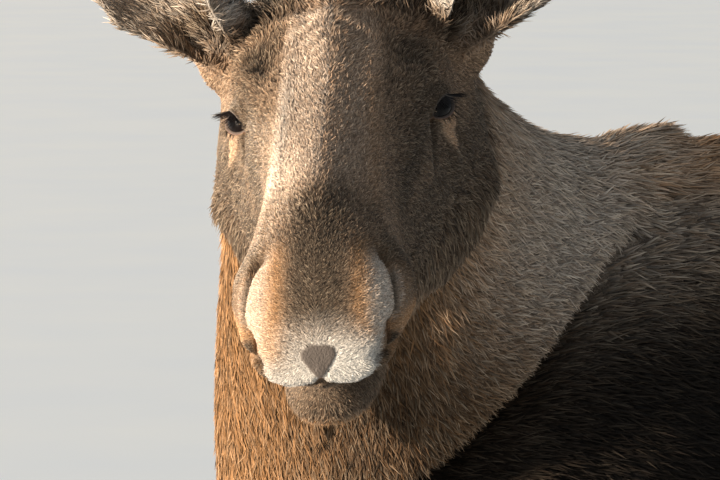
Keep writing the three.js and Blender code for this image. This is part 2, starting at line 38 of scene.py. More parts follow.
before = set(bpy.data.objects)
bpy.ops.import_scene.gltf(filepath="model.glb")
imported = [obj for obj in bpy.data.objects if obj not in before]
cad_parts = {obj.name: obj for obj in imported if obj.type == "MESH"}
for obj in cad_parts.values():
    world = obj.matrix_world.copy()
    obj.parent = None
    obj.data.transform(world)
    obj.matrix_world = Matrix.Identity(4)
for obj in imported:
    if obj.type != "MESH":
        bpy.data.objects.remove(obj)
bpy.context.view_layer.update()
BODY = "root"
MM = 0.001
SIDES = {"left": 1.0, "right": -1.0}
SEED = 7
FULLNESS = 1.0  # share of the coat's locks that is made

FLESH = ["head", "neck", "trunk", "tail", "ear_left", "ear_right"]
FLESH += [f"leg_{end}_{side}" for end in ("front", "rear") for side in SIDES]
CLAWS = [f"{kind}_{end}_{side}_{claw}"
         for kind in ("hoof", "dewclaw") for end in ("front", "rear") for side in SIDES for claw in SIDES]

# ---- The head's frame ----

HEAD_YAW, HEAD_PITCH, HEAD_ROLL = 62, 20.5, 5  # degrees: to her left, nose down, left side up
EYE = np.array((86.0, -6.0, -2.0))  # the left eye's centre; the right one is its mirror image
EYE_RADIUS = 21.0

HEAD_TURN = np.array(
    Matrix.Rotation(math.radians(HEAD_YAW), 3, "Z")
    @ Matrix.Rotation(math.radians(HEAD_PITCH), 3, "X")
    @ Matrix.Rotation(math.radians(-HEAD_ROLL), 3, "Y")
)


def middle_of(node):
    low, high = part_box(node)
    return np.array((low + high) / 2)


HEAD_AT = (middle_of("eye_left") + middle_of("eye_right")) / 2 - HEAD_TURN @ (EYE * (0, 1, 1)) * MM


def to_head(points):
    return (points - HEAD_AT) @ HEAD_TURN / MM


def from_head(points):
    return np.asarray(points) @ HEAD_TURN.T * MM + HEAD_AT


# ---- Camera ----

VIEW_AZIMUTH, VIEW_ELEVATION = 65, 5  # degrees round the animal from straight ahead, and above level
VIEW_DISTANCE = 5.0
LENS_MM, SENSOR_MM = 262.5, 36
VIEW_SHIFT = (0.01905, -0.12286)  # of the frame's middle from the point between the eyes


def add_camera():
    turn, rise = math.radians(VIEW_AZIMUTH), math.radians(VIEW_ELEVATION)
    back = Vector((math.sin(turn) * math.cos(rise), -math.cos(turn) * math.cos(rise), math.sin(rise)))
    right = Vector((math.cos(turn), math.sin(turn), 0))
    up = back.cross(right)
    camera = bpy.data.objects.new("camera", bpy.data.cameras.new("camera"))
    camera.data.lens = LENS_MM
    camera.data.sensor_width = SENSOR_MM
    camera.data.clip_end = 400
    place = Vector(HEAD_AT) + VIEW_SHIFT[0] * right + VIEW_SHIFT[1] * up + VIEW_DISTANCE * back
    camera.matrix_world = Matrix.Translation(place) @ Matrix((right, up, back)).transposed().to_4x4()
    bpy.context.scene.collection.objects.link(camera)
    bpy.context.scene.camera = camera
    return right, up, back


CAMERA_RIGHT, CAMERA_UP, CAMERA_BACK = add_camera()

# ---- Small tools ----


def bell(distance, width):
    """1 at no distance, falling away over a width."""
    return np.exp(-(distance / width) ** 2)


def step(value, start, end):
    """0 before start and 1 after end, with a smooth rise between them."""
    t = np.clip((value - start) / (end - start), 0, 1)
    return t * t * (3 - 2 * t)


def unit(vectors):
    return vectors / np.maximum(np.linalg.norm(vectors, axis=-1, keepdims=True), 1e-9)


def from_segment(points, start, end):
    """Distance of each point from a straight line between two places, and how far along it lies, 0 to 1."""
    start, line = np.asarray(start, float), np.subtract(end, start)
    along = np.clip((points - start) @ line / (line @ line), 0, 1)
    return np.linalg.norm(points - start - along[:, None] * line, axis=1), along


def from_path(points, path):
    """Distance of each point from a line through several places, and how far along it lies, 0 to 1."""
    found = [from_segment(points, *pair) for pair in zip(path, path[1:])]
    away = np.array([distance for distance, _ in found])
    along = np.array([(k + share) / len(found) for k, (_, share) in enumerate(found)])
    nearest = away.argmin(0)[None]
    return np.take_along_axis(away, nearest, 0)[0], np.take_along_axis(along, nearest, 0)[0]


def beside(points, path, width):
    """1 on a line through several places, falling away beside it."""
    return bell(from_path(points, path)[0], width)


def round_place(points, place, width):
    """1 at a place, falling away round it."""
    return bell(np.linalg.norm(points - place, axis=1), width)


def mirrored(points):
    """The same places on the left side of the head."""
    return points * (np.sign(points[:, :1]) * (1, 0, 0) + (0, 1, 1))


def rows_of(items, name, width, kind=np.int32):
    """A property of all of a mesh's points, edges or triangles, a row for each."""
    found = np.empty(len(items) * width, kind)
    items.foreach_get(name, found)
    return found.reshape(-1, width)


def positions(mesh):
    return rows_of(mesh.vertices, "co", 3, np.float32).astype(float)


def triangles(mesh):
    mesh.calc_loop_triangles()
    return rows_of(mesh.loop_triangles, "vertices", 3)


def edges(mesh):
    return rows_of(mesh.edges, "vertices", 2)


def normals(points, faces):
    """Unit normals of a mesh's points, and the areas of its triangles."""
    a, b, c = (points[faces[:, k]] for k in range(3))
    cross = np.cross(b - a, c - a)
    total = np.zeros_like(points)
    for axis in range(3):
        for corner in range(3):
            total[:, axis] += np.bincount(faces[:, corner], cross[:, axis], len(points))
    return unit(total), np.linalg.norm(cross, axis=1) / 2


def evened(values, pairs, rounds):
    """Values at a mesh's points, each moved towards the mean of its neighbours, over and over."""
    a, b = pairs.T
    count = len(values)
    degree = np.maximum(np.bincount(np.concatenate((a, b)), minlength=count), 1)
    values = values.astype(float).reshape(count, -1)
    for _ in range(rounds):
        mean = np.empty_like(values)
        for k in range(values.shape[1]):
            mean[:, k] = np.bincount(a, values[b, k], count) + np.bincount(b, values[a, k], count)
        values += 0.5 * (mean / degree[:, None] - values)
    return values


def add_object(name, mesh, material=None):
    made = bpy.data.objects.new(name, mesh)
    bpy.context.scene.collection.objects.link(made)
    if material:
        mesh.materials.clear()
        mesh.materials.append(material)
    return made


def mesh_of(name, points, faces):
    """A smooth-shaded mesh of triangles."""
    mesh = bpy.data.meshes.new(name)
    mesh.vertices.add(len(points))
    mesh.loops.add(faces.size)
    mesh.polygons.add(len(faces))
    mesh.vertices.foreach_set("co", np.ascontiguousarray(points, np.float32).ravel())
    mesh.loops.foreach_set("vertex_index", np.ascontiguousarray(faces, np.int32).ravel())
    mesh.polygons.foreach_set("loop_start", np.arange(0, faces.size, 3, dtype=np.int32))
    mesh.polygons.foreach_set("use_smooth", np.ones(len(faces), bool))
    mesh.update(calc_edges=True)
    return mesh


def baked(obj, modifier):
    """The object's mesh with its modifiers applied."""
    mesh = bpy.data.meshes.new_from_object(obj.evaluated_get(bpy.context.evaluated_depsgraph_get()))
    obj.modifiers.remove(modifier)
    return mesh


# ---- Skin: one closed mesh in place of the flesh ----

VOXEL = 0.0042
SWOLLEN = 0.0009  # closes the thin cuts between the solids
MERGED_WITHIN = 1e-5
LID_RADIUS = 24.0  # mm, outside of the lids, round the middle of the eye
SKIN_TRIANGLES = 108000
KINDS = ("head", "neck", "trunk", "tail", "ear", "leg")
COAT_DEPTH = {"head": 3, "neck": 6, "trunk": 6, "tail": 8, "ear": 1.5, "leg": 4}  # mm
# How much of the full rounding each kind of flesh takes. It wipes out the flats of the solids.
ROUNDING = {"head": 0.07, "neck": 1.0, "trunk": 1.0, "tail": 0.1, "ear": 0.02, "leg": 0.12}
ROUNDING_TURNS = 150


def flesh_solids():
    """Points and triangles of the flesh, a little swollen, and the kind of flesh of each triangle."""
    points, faces, kinds, count = [], [], [], 0
    for name in FLESH:
        solid = bmesh.new()
        solid.from_mesh(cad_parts[name].data)
        bmesh.ops.remove_doubles(solid, verts=solid.verts, dist=MERGED_WITHIN)
        solid.normal_update()
        points.append([v.co + v.normal * SWOLLEN for v in solid.verts])
        faces.append(np.array([[v.index for v in f.verts] for f in solid.faces]) + count)
        kinds += [KINDS.index(name.split("_")[0])] * len(solid.faces)
        count += len(solid.verts)
        solid.free()
    return np.concatenate(points), np.concatenate(faces), np.array(kinds)


def eye_fillings():
    """A ball in each socket, for the lids."""
    points, faces, count = [], [], 0
    for side in SIDES.values():
        ball = bmesh.new()
        bmesh.ops.create_icosphere(ball, subdivisions=4, radius=LID_RADIUS)
        local = np.array([v.co for v in ball.verts]) + EYE * (side, 1, 1)
        points.append(from_head(local))
        faces.append(np.array([[v.index for v in f.verts] for f in ball.faces]) + count)
        count += len(ball.verts)
        ball.free()
    return np.concatenate(points), np.concatenate(faces)


def kinds_at(points, solids):
    """Which kind of flesh lies nearest to each point, as columns of 0 and 1."""
    solid_points, faces, kinds = solids
    tree = BVHTree.FromPolygons(solid_points.tolist(), faces.tolist())
    near = np.array([tree.find_nearest(p)[2] for p in points])
    return (kinds[near][:, None] == np.arange(len(KINDS))).astype(float)


def weigh(obj, name, values, levels=32):
    """A vertex group with each value rounded to one of a few levels."""
    group = obj.vertex_groups.new(name=name)
    level = np.round(np.clip(values, 0, 1) * levels).astype(int)
    for k in range(1, levels + 1):
        group.add(np.flatnonzero(level == k).tolist(), k / levels, "REPLACE")


def largest_piece(points, faces):
    """The mesh without the specks that a remesh leaves inside."""
    label = np.arange(len(points))
    pairs = np.concatenate((faces[:, :2], faces[:, 1:]))
    while True:
        lower = label.copy()
        np.minimum.at(lower, pairs[:, 0], label[pairs[:, 1]])
        np.minimum.at(lower, pairs[:, 1], label[pairs[:, 0]])
        lower = lower[lower]
        if (lower == label).all():
            break
        label = lower
    keep = label == np.bincount(label).argmax()
    number = np.cumsum(keep) - 1
    return points[keep], number[faces[keep[faces].all(1)]]


def bare_skin(solids):
    """The flesh as one mesh, rounded, and thinned out behind the head."""
    fill_points, fill_faces = eye_fillings()
    points = np.concatenate((solids[0], fill_points))
    faces = np.concatenate((solids[1], fill_faces + len(solids[0])))
    obj = add_object("skin_work", mesh_of("skin_work", points, faces))
    remesh = obj.modifiers.new("remesh", "REMESH")
    remesh.mode = "VOXEL"
    remesh.voxel_size = VOXEL
    obj.data = baked(obj, remesh)
    points = positions(obj.data)
    kinds = evened(kinds_at(points, solids), edges(obj.data), 24)
    weigh(obj, "rounding", kinds @ [ROUNDING[kind] for kind in KINDS], levels=50)
    rounding = obj.modifiers.new("rounding", "SMOOTH")
    rounding.iterations = ROUNDING_TURNS
    rounding.vertex_group = "rounding"
    obj.data = baked(obj, rounding)
    weigh(obj, "thinning", 1 - kinds[:, KINDS.index("head")] - 0.7 * kinds[:, KINDS.index("ear")], levels=8)
    thinning = obj.modifiers.new("thinning", "DECIMATE")
    thinning.ratio = SKIN_TRIANGLES / (2 * len(obj.data.polygons))
    thinning.vertex_group = "thinning"
    thinning.vertex_group_factor = 1
    mesh = baked(obj, thinning)
    bpy.data.objects.remove(obj)
    return largest_piece(positions(mesh), triangles(mesh))


def refined(points, faces, wanted):
    """The mesh with the triangles that have wanted points cut into smaller ones."""
    work = bmesh.new()
    work.from_mesh(mesh_of("refine_work", points, faces))
    work.verts.ensure_lookup_table()
    near = wanted(points)
    cut = [edge for edge in work.edges if near[edge.verts[0].index] and near[edge.verts[1].index]]
    bmesh.ops.subdivide_edges(work, edges=cut, cuts=1, use_grid_fill=True)
    bmesh.ops.triangulate(work, faces=[f for f in work.faces if len(f.verts) > 3])
    mesh = bpy.data.meshes.new("refined")
    work.to_mesh(mesh)
    work.free()
    return positions(mesh), triangles(mesh), edges(mesh)


# ---- Head: folds, lids, nostrils and lips ----

LOOK = unit(np.array((0.80, -0.53, 0.26)))  # the way the left eye looks
LID_SLANT = 8  # degrees: the front corner of the eye lies lower than the rear one
LID_OPENING = {"long": 0.80, "up": 0.44, "down": 0.34}  # radians round the middle of the eye
LID_DEPTH = 8.0  # mm that the opening sinks behind the lids

# The upper half of the muzzle lies a little to her left of the middle of the head.
MUZZLE_LEAN = {"x": 4.0, "y": -375, "z": 30, "long": 70, "high": 70}
# The groove outside the flat front of the muzzle, from above to below. Its lower half is the nostril.
NOSTRIL = np.array(((57, -363, 21), (62, -378, 11), (65.5, -393, -1), (67, -404, -13), (66, -415, -26),
                    (62, -426, -37), (55, -436, -47)))
INNER_EDGE = NOSTRIL - (8.5, 3, 0)
OUTER_EDGE = NOSTRIL + (9.5, 5, 3)
ABOVE_NOSTRIL = (56, -364, 21)  # a soft hollow, with painted shade in it
MOUTH_CORNER = ((64, -372, -62), (70, -316, -84))
CHEEK_BONE = ((106, 10, -50), (84, -165, -84))
TEAR_GROOVE = np.array(((88, -38, 8), (92, -58, -18), (97, -80, -32), (97, -118, -46)))
TEAR_WEDGE = ((105, -14, -12), (103, -18, -40))  # pale hair below the eye, broad above
TEMPLE = np.array(((70, 24, 46), (78, -50, 8), (72, -190, -14)))
# Edge of the nasal bridge, and the lower edge of the upper lip: how far out, or down, at each place.
BRIDGE = {"at": (-348, -258, -130, -6, 40), "out": (60, 47, 43, 41, 34)}
LIP = {"out": (0, 6, 16, 30, 45, 55, 62), "low": (-57, -61, -64, -66, -60, -48, -42)}
NOSE_PATCH = {"low": (-57, -52, -44, -36, -30, -26), "half": (1.5, 5, 11, 15.5, 15, 8)}


def muzzle_lean(local):
    lean = MUZZLE_LEAN
    return (lean["x"] * bell(local[:, 1] - lean["y"], lean["long"])
            * bell(np.minimum(local[:, 2] - lean["z"], 0), lean["high"]))


def face_place(points):
    """Where points lie on the left half of the head, or mirrored there, with the muzzle's lean taken out."""
    local = to_head(points)
    local[:, 0] -= muzzle_lean(local)
    return mirrored(local)


def lid_axes():
    """The ways from the middle of the left eye's opening to its rear corner and to its upper lid."""
    level = unit(np.cross((0, 0, 1), LOOK))
    upright = np.cross(LOOK, level)
    slant = math.radians(LID_SLANT)
    return (level * math.cos(slant) + upright * math.sin(slant),
            upright * math.cos(slant) - level * math.sin(slant))


def eye_angles(local):
    """Where a point of the left side lies round the eye: to the rear, upwards, and its distance in mm."""
    from_eye = local - EYE
    distance = np.linalg.norm(from_eye, axis=1)
    rear, up = lid_axes()
    ahead, along, above = from_eye @ LOOK, from_eye @ rear, from_eye @ up
    return np.arctan2(along, ahead), np.arctan2(above, np.hypot(ahead, along)), distance


def lid_opening(local):
    """How far inside the almond between the lids a direction lies, in radians: below 0 is on a lid."""
    along, above, _ = eye_angles(local)
    share = np.clip(1 - (along / LID_OPENING["long"]) ** 2, 0, 1) ** 0.75
    limit = np.where(above > 0, LID_OPENING["up"], LID_OPENING["down"]) * share
    inside = limit - np.abs(above)
    return np.where(np.abs(along) < LID_OPENING["long"], inside, -np.abs(above) - 0.02)


def inside_nose_patch(local):
    """Millimetres inside the bare patch of the nose: below 0 is outside it."""
    x, _, z = local.T
    half = np.interp(z, NOSE_PATCH["low"], NOSE_PATCH["half"])
    return np.minimum.reduce([half - np.abs(x), NOSE_PATCH["low"][-1] - z, z - NOSE_PATCH["low"][0]])


def below_lip(local):
    """Millimetres below the edge of the upper lip."""
    return np.interp(local[:, 0], LIP["out"], LIP["low"]) - local[:, 2]


def relief(local, outward):
    """Millimetres that the skin of the head stands out, or sinks, at places on its left side."""
    x, y, z = local.T
    along, above, distance = eye_angles(local)
    ridge = np.interp(y, BRIDGE["at"], BRIDGE["out"])
    on_top = step(outward[:, 2], 0.1, 0.6)
    on_bridge = on_top * step(y, -350, -285) * (1 - step(y, 20, 70))
    rise = 3.0 * bell(x - ridge, 9) * on_bridge
    rise += 8.5 * bell(x, 29) * on_bridge
    rise += 6.0 * bell(x, 36) * on_top * step(y, -80, -10)  # middle of the forehead
    rise -= 5.0 * bell(x - ridge - 24, 14) * step(y, -300, -200) * (1 - step(y, 0, 50))

    round_eye = np.hypot(along * EYE_RADIUS * 0.8, above * EYE_RADIUS)
    rise += 5.5 * bell(round_eye - 32, 8) * step(above, 0.1, 0.6) * (distance < 70)  # brow
    rise -= 3.5 * bell(round_eye - 20, 4.5) * step(above, 0.15, 0.5) * (distance < 60)  # fold over the lid
    rise -= 1.8 * bell(round_eye - 17, 4) * step(-above, 0.2, 0.5) * (distance < 60)  # fold under it
    away, share = from_path(local, TEAR_GROOVE)
    rise -= 4.5 * bell(away, 6.5) * (1 - 0.6 * share)
    rise += 2.0 * beside(local, TEAR_WEDGE, 8)
    rise += 3.5 * beside(local, CHEEK_BONE, 16)

    groove, share = from_path(local, NOSTRIL)
    depth = 7 + 8 * step(share, 0.5, 0.7)
    width = 4.2 + 2.8 * step(share, 0.5, 0.75)
    rise -= depth * bell(groove, width)
    rise += 2.6 * beside(local, INNER_EDGE, 4.5) * step(-y, 340, 355)  # edge of the flat front
    outer, share = from_path(local, OUTER_EDGE)
    rise += 3.0 * bell(outer, 5) * (1 - step(share, 0.75, 1.0))  # wing round the nostril
    rise -= 5.5 * round_place(local, ABOVE_NOSTRIL, 13)

    lower = below_lip(local)
    in_front = step(-y, 330, 360)
    rise += 1.6 * bell(lower + 7, 7) * in_front  # roll of the upper lip
    rise -= 6.0 * bell(lower - 5, 4.5) * in_front  # mouth
    rise -= 2.5 * beside(local, MOUTH_CORNER, 6)
    patch = inside_nose_patch(local)
    at_nose = step(-y, 425, 438)
    rise += (1.0 * step(patch, -0.5, 1.5) - 0.4 * bell(patch + 1.6, 1.6)) * at_nose
    rise -= 2.5 * bell(x, 3.0) * step(-z, 56, 60) * (1 - step(lower, 0, 6)) * at_nose  # cleft under the nose
    lumps = np.sin(x * 0.11 + 2 * np.sin(y * 0.06)) * np.sin(y * 0.13 + x * 0.05 + 1.7)
    rise += 2.0 * lumps * on_top * step(y, -40, 20)  # ruffled forehead
    return rise


def shaped_head(points, faces, head):
    """The skin with the head's folds pressed into it, and the lids drawn round the eyes."""
    chosen = np.flatnonzero(head > 0.02)
    outward = normals(points, faces)[0][chosen] @ HEAD_TURN
    local = to_head(points[chosen])
    local[:, 0] -= muzzle_lean(local)
    side = np.sign(local[:, :1])
    flip = side * (1, 0, 0) + (0, 1, 1)
    local, outward = local * flip, outward * flip
    local = local + outward * relief(local, outward)[:, None] * head[chosen][:, None]
    from_eye = local - EYE
    distance = np.linalg.norm(from_eye, axis=1)
    opening = lid_opening(local)
    ahead = unit(from_eye) @ LOOK
    near = (distance < LID_RADIUS + 22) * step(ahead, 0.1, 0.5) * step(opening, -0.42, -0.04)
    lid = LID_RADIUS - 0.6 + 0.8 * bell(opening + 0.05, 0.07)  # a thin rim stands round the opening
    wanted = lid - LID_DEPTH * step(opening, -0.01, 0.07)
    local = local + unit(from_eye) * ((wanted - distance) * near)[:, None]
    local = local * flip
    local[:, 0] += muzzle_lean(local)
    points = points.copy()
    points[chosen] = from_head(local)
    return points


# The fold between the neck and the shoulder lies in a plane across the body: a place on it, and its normal
# towards the head. The neck swells ahead of it and the shoulder sinks behind it, in millimetres.
FOLD = {"at": (0, -0.551, 1.521), "normal": (0, -0.643, 0.765), "neck": 8.0, "shoulder": 13.0}


def ahead_of_fold(points):
    """Metres towards the head from the fold between the neck and the shoulder."""
    return (points - FOLD["at"]) @ np.array(FOLD["normal"])


def folded(points, outward, kinds):
    ahead = ahead_of_fold(points)
    swell = FOLD["neck"] * bell(ahead - 0.012, 0.034)
    sink = FOLD["shoulder"] * bell(ahead + 0.008, 0.03)
    rise = np.where(ahead > 0, swell, -sink) * step(np.abs(ahead), 0, 0.006)
    return points + outward * (rise * (kinds[:, 1] + kinds[:, 2]) * MM)[:, None]


def near_eyes(reach):
    return lambda points: np.linalg.norm(mirrored(to_head(points)) - EYE, axis=1) < reach


def near_muzzle(points):
    _, y, z = to_head(points).T
    return (y < -280) & (z < 45)


def make_skin():
    """The skin's points, triangles and normals, with the share of each kind of flesh at each point."""
    solids = flesh_solids()
    points, faces = bare_skin(solids)
    for wanted in (near_muzzle, near_eyes(52), near_eyes(34)):
        points, faces, pairs = refined(points, faces, wanted)
    kinds = evened(kinds_at(points, solids), pairs, 14)
    depth = kinds @ [COAT_DEPTH[kind] for kind in KINDS]
    depth -= (depth - 1.5) * kinds[:, 0] * step(-to_head(points)[:, 1], 300, 400)
    depth *= 1 - near_eyes(30)(points)
    depth = evened(depth, pairs, 10)[:, 0]
    outward = normals(points, faces)[0]
    points = points - outward * depth[:, None] * MM
    points = folded(points, outward, kinds)
    points = shaped_head(points, faces, kinds[:, 0])
    return points, faces, normals(points, faces)[0], kinds, pairs


# ---- Markings: the same on the skin and on the coat ----

MARKS = ("pale", "tan", "dark", "grizzle", "bare")
# The ear's own frame: sideways, to its back, and along it from its base to its tip.
EAR_BASE = np.array((98.0, 120.0, 36.0))
EAR_TURN = np.array(
    Matrix.Rotation(math.radians(41), 3, "Y")
    @ Matrix.Rotation(math.radians(-10), 3, "X")
    @ Matrix.Rotation(math.radians(12), 3, "Z")
)
EAR_ALONG = (0, 42, 90, 135, 180, 220, 246, 260)
EAR_SECTION = {"radius": (33, 42, 64, 71, 64, 47, 27, 10), "hold": (150, 126, 86, 72, 62, 52, 44, 38)}
EAR_CURVE = 30.0
EAR_HOLLOW = 4  # mm inside the ear's outer face: deeper than this is the inside of the ear
INNER_TUFT = (108, 69, 81)  # pale hair where the ear's inner rim meets the head
NOSTRIL_FOOT = ((65, -414, -37), (57, -425, -50.5))  # the lowest, open end of the nostril
LIP_PAINTED_SHADE = (38, -438, -34)  # painted shade: grey on the right half of the upper lip, her sunlit side
NOSE_SPOT = (6, -365, 38)  # dark patch above the muzzle
ROUND_NECK = np.array((0.42, 0.91, 0))  # the level way from the throat round the left side to the nape


def ear_place(local):
    """Where points lie on the left ear: along it, round it from its spine to a rim (-1 or 1), and how far
    they are inside its section's outer face, all in millimetres or shares."""
    side, back, along = ((local - EAR_BASE) @ EAR_TURN).T
    radius, hold = (np.interp(along, EAR_ALONG, EAR_SECTION[name]) for name in ("radius", "hold"))
    side = side + EAR_CURVE * (np.clip(along, 0, None) / EAR_ALONG[-1]) ** 2
    back = back + radius
    return along, np.degrees(np.arctan2(side, back)) / hold, radius - np.hypot(side, back)


def behind_throat(points):
    """Metres from the line of the throat towards the nape."""
    return (points - HEAD_AT) @ ROUND_NECK


def muzzle_marks(local, on_left):
    """Pale lips and nostril edges, tan flanks, a dark middle and chin, the bare nose; painted shade in the
    nostril's groove, in the hollow above it and on the lip of her sunlit right, and painted light on the lips
    and flat front of her shaded left.
    """
    x, y, z = local.T
    front = step(-y, 380, 415)
    lower = below_lip(local)
    groove, share = from_path(local, NOSTRIL)
    behind_groove = y - np.interp(z, NOSTRIL[::-1, 2], NOSTRIL[::-1, 1])
    wing = step(behind_groove, 3, 9) * (1 - step(y, -350, -310)) * step(x, 48, 58) * step(z, -60, -50)
    # Painted shade: dark along the nostril's groove and in its open lower end.
    nostril_groove_shade = np.maximum(bell(groove, 6), beside(local, NOSTRIL_FOOT, 5.5))

    lips = step(-z - 0.12 * x, -4, 26) * front * (1 - step(lower, -1, 2)) * (0.5 + 0.5 * step(-z, 12, 42))
    # Painted light and shade: the lips are whiter on her left, the shaded side, and greyed on her sunlit
    # right.
    lips *= 0.85 + 0.15 * on_left - 0.7 * (1 - on_left) * round_place(local, LIP_PAINTED_SHADE, 19)
    edge = 0.8 * beside(local, INNER_EDGE, 4.5) * step(share, 0.4, 0.6)
    # Painted light: the flat front is paler on her left, the shaded side.
    plate = (0.48 + 0.2 * on_left) * step(x, 34, 56) * step(-y, 355, 385) * step(z, -40, -20)

    flank = 0.85 * step(x, 22, 46) * step(-y, 345, 385) * step(z, -52, -30)
    wing_rim = 0.75 * wing * (1 - step(z, -32, -18))
    jaw = 0.12 * step(-z, 60, 110) * (1 - step(-y, 330, 380))
    chin_edge = 0.6 * step(-z, 108, 122) * step(-y, 330, 370)
    cleft = bell(x, 2.5) * step(-z, 55, 58) * front * (1 - step(lower, 1, 4))

    middle = 0.75 * (1 - step(x, 14, 34)) * step(-y, 262, 325) * (1 - step(-z, 0, 24))
    nose_spot = 0.75 * round_place(local, NOSE_SPOT, 22)
    # Painted shade in the hollow above the nostril.
    hollow = 0.8 * round_place(local, ABOVE_NOSTRIL, 14)
    furred_wing = 0.65 * wing * step(z, -32, -18)
    chin = 0.42 * step(lower, 0, 4) * (1 - step(-z, 108, 122)) * step(-y, 300, 350)

    nose = step(inside_nose_patch(local), -0.8, 0.6) * step(-y, 418, 430)
    inside_nostril = (1 - step(groove, 3, 5)) * step(share, 0.55, 0.7)
    return {
        "pale": np.maximum.reduce([lips, edge, plate]) * (1 - nostril_groove_shade) * (1 - 0.85 * wing),
        "tan": np.maximum.reduce([flank, wing_rim, jaw, chin_edge, cleft]),
        "dark": np.maximum.reduce([middle, nose_spot, hollow, nostril_groove_shade, furred_wing, chin]),
        "bare": np.maximum(nose, inside_nostril),
    }


def eye_marks(local):
    """The pale wedge below the eye, painted shade in the socket and along the tear groove, darker cheeks, and
    the bare lids.
    """
    x, y, z = local.T
    _, above, distance = eye_angles(local)
    opening = lid_opening(local)
    away, share = from_segment(local, *TEAR_WEDGE)
    wedge = step(18 - 14 * share - away, -4, 5) * (opening < -0.1) * step(-z, -2, 4)
    lid_rim = 0.8 * bell(opening + 0.09, 0.05) * (distance < LID_RADIUS + 4) * (above < 0)
    # Painted shade in the socket round the lids and along the groove below the eye.
    socket = 0.7 * bell(np.maximum(distance - LID_RADIUS, 0), 9)
    groove = 0.9 * beside(local, TEAR_GROOVE, 17)
    cheek = 0.7 * step(x, 50, 72) * step(-z, 5, 45) * (1 - step(-y, 290, 340))
    return {
        "pale": 0.2 * wedge,
        "tan": np.maximum(0.75 * wedge, lid_rim),
        "dark": np.maximum.reduce([socket, groove, cheek]) * (1 - wedge),
        "bare": step(opening, -0.08, -0.03) * (distance < LID_RADIUS + 6),
    }


def brow_marks(local, on_left):
    """The paler bridge of the nose and forehead, between dark temples and a dark poll, painted paler on her
    sunlit right side, with painted shade on the ridge of her left.
    """
    x, y, z = local.T
    beyond_ridge = x - np.interp(y, BRIDGE["at"], BRIDGE["out"])
    bridge = step(z, -10, 25) * (1 - step(y, 40, 80)) * (1 - step(-y, 230, 300))
    bridge *= 1 - step(beyond_ridge, -2, 12)
    # Along the ridges of the bridge: a painted highlight on her sunlit right side and painted shade on her
    # shaded left.
    edge = bell(beyond_ridge, 8) * step(-y, 30, 80)
    temple = 0.8 * beside(local, TEMPLE, 24) * (1 - bridge)
    poll = 0.8 * step(y, 48, 84) * step(z, 10, 50) * step(x, 26, 48)
    # Painted light: the bridge is paler on her right, the sunlit side, than on her left.
    return {
        "pale": bridge * np.where(on_left, 0.2 - 0.1 * edge, 0.34 + 0.2 * edge),
        "tan": 0.42 * bridge,
        "dark": np.maximum(temple, poll),
    }


def ear_marks(local, head, ear):
    """Pale hair inside the ear and at its root, a tan fringe behind it, and a dark rim."""
    along, round_ear, inside = ear_place(local)
    hollow = inside > EAR_HOLLOW
    root = 0.75 * ear * (1 - step(np.abs(along - 20), 28, 60)) * step(-round_ear, 0.35, 0.75)
    tuft = 0.7 * round_place(local, INNER_TUFT, 15)
    fringe = (ear + head) * bell(along - 14, 34) * step(round_ear, 0.35, 0.8) * (local[:, 1] > 40)
    rim = step(np.abs(round_ear), 0.86, 1.0)
    return {
        "pale": np.maximum.reduce([root, tuft, 0.15 * fringe, 0.28 * ear * hollow]),
        "tan": 0.5 * fringe,
        "dark": ear * (np.where(hollow, 0.05 + 0.5 * rim, 0.3) + 0.2 * step(along, 120, 240)),
        "grizzle": 0.85 * ear,
    }


def body_marks(points, kinds):
    """A tan throat and grey neck with a low neck darkened partly by painted shadow, a black trunk with a
    browner crest, a painted rim of light along the topline, and legs that pale downwards.
    """
    _, neck, trunk, tail, _, leg = kinds.T
    height = points[:, 2]
    behind = behind_throat(points)
    throat = 1 - step(behind, 0.05, 0.24)
    # Painted light: the topmost hair of the neck and withers is tan and less dark, as if lit from behind.
    fringe = (neck * step(behind, 0.2, 0.4) + trunk) * step(height, 1.69, 1.74)
    crest = step(height, 1.54, 1.80)
    # Darker low neck behind the throat: partly its own dark hair, partly the head's painted shadow.
    dark_and_shadowed_low_neck = (1 - step(height, 1.53, 1.76)) * step(behind, -0.11, 0.02)
    before_fold = step(ahead_of_fold(points), -0.006, 0.006)
    before = neck + trunk * before_fold
    body = trunk * (1 - before_fold) + tail
    return {
        "pale": 0.42 * neck * (1 - throat) * step(height, 1.5, 1.7),
        "tan": neck * (0.22 + 0.53 * throat) + 0.7 * fringe,
        "dark": (before * (0.02 + 0.34 * throat + 0.5 * dark_and_shadowed_low_neck)
                 + body * (0.99 - 0.85 * crest) * (1 - 0.9 * fringe)
                 + leg * (0.15 + 0.8 * step(height, 0.62, 0.95))),
        "grizzle": (before * (0.25 + 0.75 * (1 - throat) * (1 - 0.6 * dark_and_shadowed_low_neck))
                    + body * (0.03 + 0.9 * crest) * (1 - 0.8 * fringe)
                    + leg * (0.8 - 0.6 * step(height, 0.6, 0.95))),
    }


def markings(points, kinds):
    """Shares of the coat's colours at places on the skin: columns in the order of MARKS."""
    local = face_place(points)
    # Her left is the side away from the key lamp; the marks that differ by side are painted light and shade.
    on_left = to_head(points)[:, 0] > 0
    head, ear = kinds[:, 0], kinds[:, 4]
    none = np.zeros(len(points))
    areas = (muzzle_marks(local, on_left), eye_marks(local), brow_marks(local, on_left))
    face = {name: head * np.maximum.reduce([area.get(name, none) for area in areas]) for name in MARKS}
    face["grizzle"] = 0.45 * head
    parts = (face, ear_marks(local, head, ear), body_marks(points, kinds))
    shares = {name: sum(part.get(name, none) for part in parts) for name in MARKS}
    shares["pale"] = np.maximum.reduce([part["pale"] for part in parts])
    return np.clip(np.stack([shares[name] for name in MARKS], 1), 0, 1)


